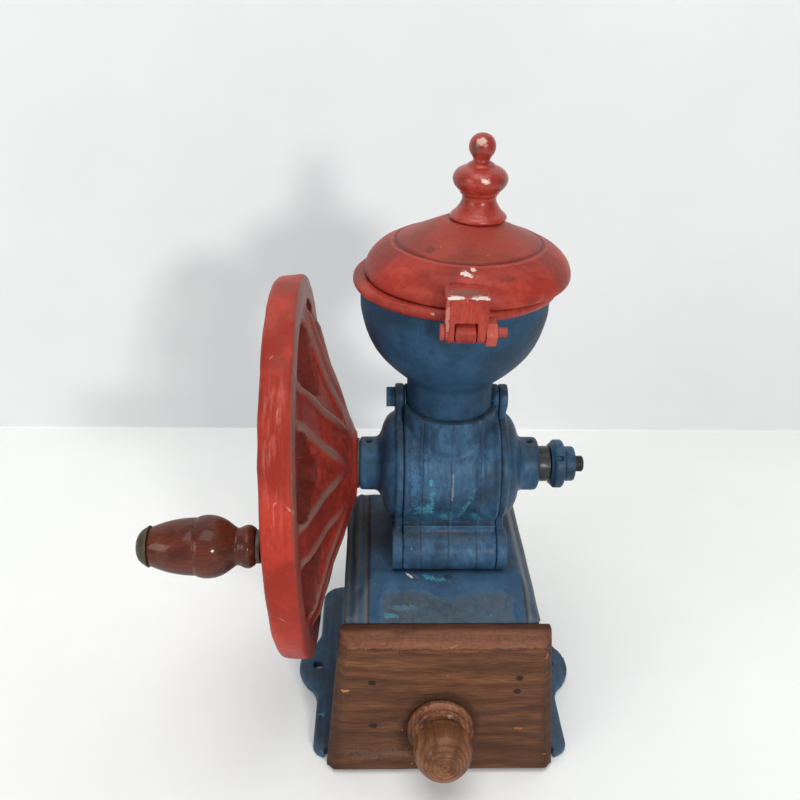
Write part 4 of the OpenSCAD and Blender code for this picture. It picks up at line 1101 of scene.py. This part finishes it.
class Shaper:
    """Ways of making a piece's mesh; each gives an object at the origin."""

    SHARP = 40.0
    CUT = 0.22

    @classmethod
    def rounded(cls, points: Sequence[Point], times: int) -> List[Point]:
        """Cuts the corners of an open outline, keeping its ends.

        Args:
            points: radius and length of each point.
            times: how many times the corners are cut.

        Returns:
            The smoother outline.
        """
        line = list(points)
        for _ in range(times):
            out = [line[0]]
            for (ax, ay), (bx, by) in zip(line, line[1:]):
                dx, dy = (bx - ax) * cls.CUT, (by - ay) * cls.CUT
                out += [(ax + dx, ay + dy), (bx - dx, by - dy)]
            line = out + [line[-1]]
        return line

    @staticmethod
    def frame_of(axis: Axis, at: Triple) -> Matrix:
        """The placing of a turned piece whose length runs along local Z.

        Args:
            axis: where local Z points.
            at: the local origin, in millimetres.

        Returns:
            The matrix, in metres.
        """
        quarter = math.radians(90)
        angle, about = {
            Axis.UP: (0.0, "Z"),
            Axis.RIGHT: (quarter, "Y"),
            Axis.LEFT: (-quarter, "Y"),
            Axis.BOARD: (quarter - math.atan(PLACE.board_slope), "X"),
        }[axis]
        return Matrix.Translation(Vector(at) * MM) @ Matrix.Rotation(angle, 4, about)

    @classmethod
    def lathe(
        cls, node: str, name: str, body: str, outline: Sequence[Point], axis: Axis, at: Triple,
        steps: int = 96, times: int = 2,
    ) -> Piece:
        """Makes one turned piece that stands for a CAD node.

        Args:
            node: the CAD node.
            name: the piece's name.
            body: the body that it rides on.
            outline: radius and length of each point, in millimetres.
            axis: where its length points.
            at: its local origin.
            steps: divisions round the axis.
            times: how many times the outline's corners are cut.

        Returns:
            The object.
        """
        bm = bmesh.new()
        verts = [bm.verts.new((r * MM, 0.0, h * MM)) for r, h in cls.rounded(outline, times)]
        edges = [bm.edges.new(pair) for pair in zip(verts, verts[1:])]
        bmesh.ops.spin(
            bm, geom=verts + edges, cent=(0, 0, 0), axis=(0, 0, 1), angle=math.tau, steps=steps, use_merge=True
        )
        bmesh.ops.remove_doubles(bm, verts=bm.verts, dist=2e-6)
        bm.transform(cls.frame_of(axis, at))
        bmesh.ops.recalc_face_normals(bm, faces=bm.faces)
        for face in bm.faces:
            face.smooth = True
        for edge in bm.edges:
            if len(edge.link_faces) == 2 and edge.calc_face_angle(0.0) > math.radians(cls.SHARP):
                edge.smooth = False
        obj = link(name, mesh_of(bm, name))
        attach(obj, body)
        return cls.stood_for(obj, node)

    @classmethod
    def softened(
        cls, node: str, name: str, voxel: float, passes: int,
        shape: Optional[Callable[[Vector, Vector], Vector]] = None,
    ) -> Piece:
        """A copy of a CAD node with the soft edges of a painted casting.

        Args:
            node: the CAD node, which the copy replaces.
            name: the new piece's name.
            voxel: the grid that it is rebuilt on, in millimetres.
            passes: how often it is smoothed.
            shape: moves a vertex, given its place and normal.

        Returns:
            The object.
        """
        source = frame["nodes"][node]
        bm = bmesh.new()
        bm.from_mesh(source.data)
        bmesh.ops.remove_doubles(bm, verts=bm.verts, dist=1e-6)
        obj = link(name, mesh_of(bm, name))
        grid = obj.modifiers.new("grid", "REMESH")
        grid.mode = "VOXEL"
        grid.voxel_size = voxel * MM
        grid.adaptivity = 0.0
        soft = obj.modifiers.new("soft", "SMOOTH")
        soft.factor = 0.5
        soft.iterations = passes
        bpy.context.view_layer.update()
        done = bpy.data.meshes.new_from_object(obj.evaluated_get(bpy.context.evaluated_depsgraph_get()))
        obj.modifiers.clear()
        obj.data = done
        done.name = name
        if shape is not None:
            normals = [v.normal.copy() for v in done.vertices]
            for vertex, normal in zip(done.vertices, normals):
                vertex.co = shape(vertex.co / MM, normal) * MM
        for face in done.polygons:
            face.use_smooth = True
        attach(obj, source["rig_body"])
        return cls.stood_for(obj, node)

    @staticmethod
    def stood_for(obj: Piece, node: str) -> Piece:
        """Args:
            obj: the new piece.
            node: the node that it replaces.

        Returns:
            The piece.
        """
        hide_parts(node)
        return obj


# ---------------------------------------------------------------- sub-assemblies


@dataclass
class Assembly:
    """One group of pieces that belong together; each kind has its own build."""

    palette: Palette

    def keep(self, obj: Piece, *finishes: str) -> Piece:
        """Dresses a piece and reports it.

        Args:
            obj: the piece.
            finishes: its materials.

        Returns:
            The piece.
        """
        self.palette.dress(obj, *finishes)
        LOG.info("%s: %s, %d faces", type(self).__name__, obj.name, len(obj.data.polygons))
        return obj

    def dress_nodes(self, finish: str, *nodes: str) -> None:
        """Gives CAD nodes a finish, their meshes as they are.

        Args:
            finish: the finish's name.
            nodes: the nodes.
        """
        for node in nodes:
            self.keep(frame["nodes"][node], finish)


@dataclass
class Base(Assembly):
    """The cast base box and its fixings."""

    voxel: float = 1.4
    lump: Lump = Lump(22.0, 0.35)
    foot_z: float = 0.8
    toe_y: float = -66.0
    toe_pull: float = 0.38

    def shape(self, at: Vector, normal: Vector) -> Vector:
        """Gives the casting its uneven skin and draws the flange's front corners in.

        Args:
            at: a vertex, in millimetres.
            normal: its normal.

        Returns:
            Where it goes.
        """
        moved = self.lump.at(at, normal) if at.z >= self.foot_z else at.copy()
        if at.z < 12 and at.y < self.toe_y:
            share = ramp(abs(at.x), 58.0, 72.0) * (1.0 - ramp(at.z, 6.5, 11.0))
            moved.y += (self.toe_y - moved.y) * self.toe_pull * share
        return moved

    def build(self) -> None:
        """Makes the base."""
        self.keep(Shaper.softened("base_casting", "base_skin", self.voxel, 2, self.shape), "blue_base")
        self.dress_nodes("dark_steel", "deck_screws")


@dataclass
class Drawer(Assembly):
    """The drawer: worn front board, knob, box, nails."""

    voxel: float = 1.1
    chamfer: float = 3.0
    top: float = 98.0
    collar: float = 20.5
    waist: float = 17.8
    length: float = 37.0
    knob_x: float = -2.0
    knob_z: float = 35.0

    def worn(self, at: Vector, normal: Vector) -> Vector:
        """Wears the board's upper front edge and its corners away.

        Args:
            at: a vertex, in millimetres.
            normal: its normal.

        Returns:
            Where it goes.
        """
        depth = (at.y - PLACE.board_front(at.z)) * 0.98
        below = self.top - at.z
        over = self.chamfer + noise.noise(Vector((at.x / 18.0, 3.0, 1.0))) * 1.6 - (depth * 0.55 + below)
        moved = at.copy()
        if over > 0 and depth < 9:
            moved += Vector((0.0, 0.5, -0.35)) * over
        if normal.y < -0.5:
            moved.y += noise.noise(at / 16.0) * 0.3
        return moved

    def knob(self) -> Piece:
        """Turns the knob.

        Returns:
            The knob.
        """
        c, r, n = self.collar, self.waist, self.length
        outline = [
            (0, 20), (2.5, 20.0), (2.5, 0.0), (c - 1, 0), (c, 1.5), (c, 4.0), (c - 1, 5.2), (c - 3, 5.6),
            (c - 3.2, 6.6), (r + 0.4, 7.4), (r + 0.4, 9.4), (r - 1.0, 10.4), (r - 3.2, 11.2), (r - 2.4, 13.4),
            (r - 0.5, 16), (r, 19.5), (r - 0.2, 24), (r - 1.6, 29), (r - 4.5, 33.5), (r - 7.5, n - 1.5),
            (r - 8.6, n - 0.4), (r - 9.4, n), (4, n), (4, n - 0.8), (0, n - 0.8),
        ]
        place = (self.knob_x, PLACE.board_front(self.knob_z), self.knob_z)
        return Shaper.lathe("drawer_knob", "knob_turned", "drawer", outline, Axis.BOARD, place)

    def build(self) -> None:
        """Makes the drawer."""
        self.keep(Shaper.softened("drawer_front", "board_worn", self.voxel, 5, self.worn), "drawer_wood")
        self.keep(self.knob(), "knob_wood")
        self.dress_nodes("box_wood", "drawer_left_side", "drawer_right_side", "drawer_back", "drawer_bottom")
        self.dress_nodes("dark_steel", "knob_screw", "drawer_nails")


@dataclass
class Chamber(Assembly):
    """The grinding chamber: casing, end plates, rods, shaft, burrs."""

    voxel: float = 1.0
    lump: Lump = Lump(14.0, 0.22)
    bore: float = 12.0
    seat_z: float = 113.0

    def shape(self, at: Vector, normal: Vector) -> Vector:
        """Gives a casting its uneven skin, away from its bores.

        Args:
            at: a vertex, in millimetres.
            normal: its normal.

        Returns:
            Where it goes.
        """
        far = math.hypot(at.y - PLACE.shaft_y, at.z - PLACE.shaft_z)
        return at if far < self.bore or at.z < self.seat_z else self.lump.at(at, normal)

    def build(self) -> None:
        """Makes the chamber."""
        self.keep(Shaper.softened("chamber_casing", "casing_skin", self.voxel, 4, self.shape), "blue_casting")
        for side in ("left", "right"):
            plate = Shaper.softened(side + "_end_plate", side + "_plate_skin", self.voxel, 4, self.shape)
            self.keep(plate, "blue_plate")
        self.dress_nodes("blue_screw", "left_lug_screw", "right_lug_stud", "front_tie_rod", "rear_tie_rod")
        self.dress_nodes("dark_steel", "drive_shaft", "wheel_key", "shaft_nut")
        self.dress_nodes("burr_steel", "inner_burr", "outer_burr")
        self.dress_nodes("dark_steel", "hub_washer")


@dataclass
class Wheel(Assembly):
    """The flywheel with its crank grip."""

    voxel: float = 1.2
    lump: Lump = Lump(17.0, 0.45)
    sunk: float = -0.1
    bore: float = 13.0
    lean: float = 1.7
    phase: float = 5.5
    spoke: float = 45.0
    rim_face: float = -84.0
    flat: float = 0.3
    ridge: float = 2.0
    ridge_at: float = 11.0
    ridge_half: float = 2.6
    back: float = 5.5

    def shape(self, at: Vector, normal: Vector) -> Vector:
        """Gives the wheel its uneven skin, its flat rim face and its ridges.

        Args:
            at: a vertex, in millimetres.
            normal: its normal.

        Returns:
            Where it goes.
        """
        dy, dz = at.y - PLACE.shaft_y, at.z - PLACE.shaft_z
        far = math.hypot(dy, dz)
        if far < self.bore:
            return at
        moved = self.lump.at(at, normal, self.sunk)
        face = self.rim_face - dz * math.sin(math.radians(self.lean))
        to_rim = ramp(far, 92.0, 104.0)
        if far > 92 and moved.x > face:
            moved.x = face + (moved.x - face) * (1.0 - (1.0 - self.flat) * to_rim)
        if normal.x > 0.25 and 24 < far < 104:
            turn = math.degrees(math.atan2(dz, -dy)) - self.phase
            half = self.spoke / 2
            off = abs(far * math.sin(math.radians((turn + half) % self.spoke - half)))
            crest = math.exp(-(((off - self.ridge_at) / self.ridge_half) ** 2))
            hollow = ramp(off, self.ridge_at + 2.5, self.ridge_at + 6.0)
            middle = 1.0 - ramp(off, 2.0, self.ridge_at)
            fade = ramp(far, 26.0, 50.0) * (1.0 - to_rim)
            moved.x += fade * (self.ridge * crest - 1.2 * hollow - 0.5 * middle)
        if normal.x < -0.2 and 50 < far < 98:
            moved.x -= self.back * ramp(far, 50.0, 62.0) * (1.0 - ramp(far, 84.0, 98.0))
        return moved

    def build(self) -> None:
        """Makes the wheel and the grip."""
        self.keep(Shaper.softened("flywheel", "wheel_skin", self.voxel, 9, self.shape), "red_wheel")
        b, g, n, c = 4.56, 16.8, 56.0, 7.5
        at = (PLACE.grip_x, PLACE.grip_y, PLACE.grip_z)
        grip = [
            (b, n - 1.5), (b, 0), (9.2, 0), (10.4, 1.2), (11.4, 3), (11.6, 4.4), (11.2, 6.2), (10.4, 7.8), (9.9, 9.2),
            (10, 10.4), (11.6, 12.6), (13.6, 15.2), (15.2, 18), (16.3, 21.2), (g, 24.6), (16.6, 28), (16, 30.4),
            (15.3, 31.3), (15.3, 34.2), (15, 38), (14.3, 43), (13.1, 48), (11.6, 52.4), (10.2, n), (8.6, n),
            (8.6, n - 1.5), (b, n - 1.5),
        ]
        self.keep(Shaper.lathe("crank_grip", "grip_turned", "grip", grip, Axis.LEFT, at, steps=128), "grip_wood")
        cap = [
            (8.8, n + 1.4), (8.8, n + 0.1), (11, n + 0.1), (11, n + 1), (10.2, n + 1.8), (9.4, n + c * 0.45),
            (7.6, n + c * 0.72), (4.6, n + c * 0.92), (0, n + c), (0, n + c - 1.3), (4.2, n + c - 1.9),
            (7.8, n + c * 0.45), (8.8, n + 1.4),
        ]
        self.keep(Shaper.lathe("grip_end_cap", "cap_turned", "grip", cap, Axis.LEFT, at), "bronze_cap")
        self.dress_nodes("dark_steel", "crank_spindle", "grip_washer")


@dataclass
class Adjuster(Assembly):
    """The fineness screw, its lock ring and stud nut."""

    ring_left: float = 68.5
    ring_slope: float = 3.0
    ring_r: float = 15.5
    ring_drop: float = 2.6
    stud_end: float = 86.9
    thread_from: float = 80.9
    threads: int = 6

    def ring_shape(self, at: Vector, normal: Vector) -> Vector:
        """Slopes the ring's inner side.

        Args:
            at: a vertex, in millimetres.
            normal: its normal, which this shape does not need.

        Returns:
            Where it goes.
        """
        dy, dz = at.y - PLACE.shaft_y, at.z - PLACE.shaft_z
        far = math.hypot(dy, dz)
        slope = ramp(at.x, self.ring_left, self.ring_left + self.ring_slope)
        limit = self.ring_r - self.ring_drop * (1.0 - slope)
        if far <= limit:
            return at
        return Vector((at.x, PLACE.shaft_y + dy * limit / far, PLACE.shaft_z + dz * limit / far))

    def build(self) -> None:
        """Makes the adjuster."""
        e, t = self.stud_end, self.thread_from
        thread = [point for i in range(self.threads) for point in ((5.3, t + i), (4.75, t + 0.5 + i))]
        screw = [
            (0, 35.85), (3, 35.85), (4, 36.9), (11.35, 36.9), (11.35, 56.5), (11.4, 56.7), (11.4, 64.0), (10.8, 64.6),
            (5.3, 64.6), *thread, (4.5, e), (0, e),
        ]
        at = (PLACE.body_x, PLACE.shaft_y, PLACE.shaft_z)
        turned = Shaper.lathe("adjusting_screw", "screw_turned", "adjuster", screw, Axis.RIGHT, at, times=1)
        self.keep(turned, "bright_steel")
        self.keep(Shaper.softened("lock_ring", "ring_skin", 0.45, 3, self.ring_shape), "blue_screw")
        nut = [(5.32, 73.7), (10.4, 73.7), (11.2, 74.5), (11.2, 79.9), (10.4, 80.7), (5.32, 80.7), (5.32, 73.7)]
        self.keep(Shaper.lathe("stud_nut", "nut_turned", "adjuster", nut, Axis.RIGHT, at), "blue_screw")


@dataclass
class Hopper(Assembly):
    """The hopper, its lid and the hinge between them."""

    lump: Lump = Lump(20.0, 0.25)
    lip_z: float = 289.6
    lip_r: float = 55.2
    tongue_x: float = 1.6
    tongue_half: float = 6.5

    def red(self, at: Vector) -> bool:
        """Whether a place on the hopper is painted red.

        Args:
            at: the place, in millimetres.

        Returns:
            True on the lip and the hinge's tongue.
        """
        beyond = math.hypot(at.x - PLACE.hopper_x, at.y - PLACE.shaft_y) > self.lip_r
        tongue = at.y < -43 and abs(at.x - self.tongue_x) < self.tongue_half and at.z > 280 and beyond
        return at.z > self.lip_z or tongue

    def build(self) -> None:
        """Makes the hopper and the lid."""
        cup = Shaper.softened("hopper", "hopper_skin", 1.1, 3, self.lump.at)
        self.keep(cup, "blue_hopper", "red_hinge")
        for face in cup.data.polygons:
            face.material_index = int(self.red(face.center / MM))
        self.keep(Shaper.softened("lid", "lid_skin", 0.9, 3, self.lump.at), "red_lid")
        self.keep(Shaper.softened("hinge_bracket", "bracket_skin", 0.5, 3), "red_hinge")
        finial = [
            (0, 14), (2.98, 14), (2.98, 0), (14.6, 0), (15.8, 0.9), (15.8, 2.2), (14.6, 3.4), (13, 4.6), (11.6, 6.6),
            (9.8, 9.4), (9.3, 11.6), (9.6, 13.6), (10.8, 14.6), (10.8, 15.6), (12.6, 17), (14.4, 19.2), (15.2, 21.8),
            (14.8, 24.4), (13, 26.8), (10.2, 28.4), (7.8, 29.2), (7, 30.4), (4.8, 31.4), (4.4, 32.4), (5.2, 34),
            (6.9, 36.4), (7.35, 39), (6.9, 41.8), (5.4, 44.2), (3.0, 45.8), (0, 46.3),
        ]
        at = (PLACE.finial_x, PLACE.shaft_y, PLACE.finial_z)
        self.keep(Shaper.lathe("finial", "finial_turned", "lid", finial, Axis.UP, at), "red_finial")
        self.dress_nodes("dark_steel", "finial_stud", "bracket_key")
        self.dress_nodes("red_screw", "hinge_nut", "hinge_pin")


@dataclass
class Lamp:
    """A square area lamp; its places and size are in metres, its power in watts."""

    name: str
    at: Triple
    aim: Triple
    size: float
    power: float
    tint: Colour = (1.0, 1.0, 1.0)

    def hang(self) -> None:
        """Hangs the lamp."""
        data = bpy.data.lights.new(self.name, "AREA")
        data.shape = "SQUARE"
        data.size, data.energy, data.color = self.size, self.power, self.tint
        obj = link(self.name, data)
        obj.location = self.at
        obj.rotation_euler = (Vector(self.aim) - Vector(self.at)).to_track_quat("-Z", "Y").to_euler()


@dataclass
class Stage:
    """Table, wall, lamps and camera."""

    palette: Palette
    wall_y: float = 343.0
    bend: float = 3.0
    bend_steps: int = 12
    reach: float = 1600.0
    place: Triple = (-45.34, -446.16, 463.2)
    yaw: float = 2.134
    pitch: float = 28.435
    roll: float = 1.352
    lens: float = 38.28
    middle: Triple = (0.0, 0.0, 0.18)
    sky: Colour = (0.92, 0.96, 1.0)
    sky_power: float = 0.28

    def backdrop(self) -> None:
        """Makes the table and the wall as one bent sheet."""
        line: List[Point] = [(-self.reach, 0.0)]
        for i in range(self.bend_steps + 1):
            turn = math.radians(i * 90.0 / self.bend_steps)
            line.append((self.wall_y - self.bend * (1 - math.sin(turn)), self.bend * (1 - math.cos(turn))))
        line.append((self.wall_y, self.reach))
        bm = bmesh.new()
        verts = [bm.verts.new((self.reach * MM, y * MM, z * MM)) for y, z in line]
        edges = [bm.edges.new(pair) for pair in zip(verts, verts[1:])]
        swept = bmesh.ops.extrude_edge_only(bm, edges=edges)["geom"]
        moved = [item for item in swept if isinstance(item, bmesh.types.BMVert)]
        bmesh.ops.translate(bm, verts=moved, vec=(-2 * self.reach * MM, 0.0, 0.0))
        bm.normal_update()
        away = [face for face in bm.faces if face.normal.z < 0 or face.normal.y > 0.5]
        bmesh.ops.reverse_faces(bm, faces=away)
        for face in bm.faces:
            face.smooth = True
        obj = self.palette.dress(link("backdrop", mesh_of(bm, "backdrop")), "pale_table", "pale_wall")
        for face in obj.data.polygons:
            face.material_index = int(face.normal.z < math.cos(math.radians(45)))

    def camera(self) -> None:
        """Places the camera."""
        yaw, pitch, roll = (math.radians(v) for v in (self.yaw, self.pitch, self.roll))
        ahead = Vector((math.sin(yaw) * math.cos(pitch), math.cos(yaw) * math.cos(pitch), -math.sin(pitch)))
        level = Vector((math.cos(yaw), -math.sin(yaw), 0.0))
        upright = level.cross(ahead)
        right = level * math.cos(roll) + upright * math.sin(roll)
        up = upright * math.cos(roll) - level * math.sin(roll)
        data = bpy.data.cameras.new("camera")
        data.sensor_width = 36.0
        data.lens = self.lens
        data.clip_start = 0.01
        obj = link("camera", data)
        turn = Matrix((right, up, -ahead)).transposed().to_4x4()
        obj.matrix_world = Matrix.Translation(Vector(self.place) * MM) @ turn
        bpy.context.scene.camera = obj

    def build(self) -> None:
        """Sets the stage."""
        self.backdrop()
        Lamp("key", (0.68, -1.98, 0.88), self.middle, 0.24, 21.0, (1.0, 0.99, 0.97)).hang()
        Lamp("fill", (-1.7, -1.25, 0.95), self.middle, 0.9, 12.5, (0.97, 0.985, 1.0)).hang()
        Lamp("top", (-0.1, -0.45, 2.0), (0.0, 0.05, 0.0), 1.3, 18.0).hang()
        self.camera()
        world = bpy.data.worlds.new("room")
        world.use_nodes = True
        back = world.node_tree.nodes["Background"]
        back.inputs["Color"].default_value = (*self.sky, 1.0)
        back.inputs["Strength"].default_value = self.sky_power
        bpy.context.scene.world = world
        bpy.context.scene.view_settings.view_transform = "Standard"


def main() -> None:
    """Builds and dresses every sub-assembly, then sets the stage."""
    palette = Palette()
    for maker in (Base, Drawer, Chamber, Wheel, Adjuster, Hopper, Stage):
        maker(palette).build()


if __name__ == "__main__":
    logging.basicConfig(level=logging.INFO, format="%(message)s")
    main()
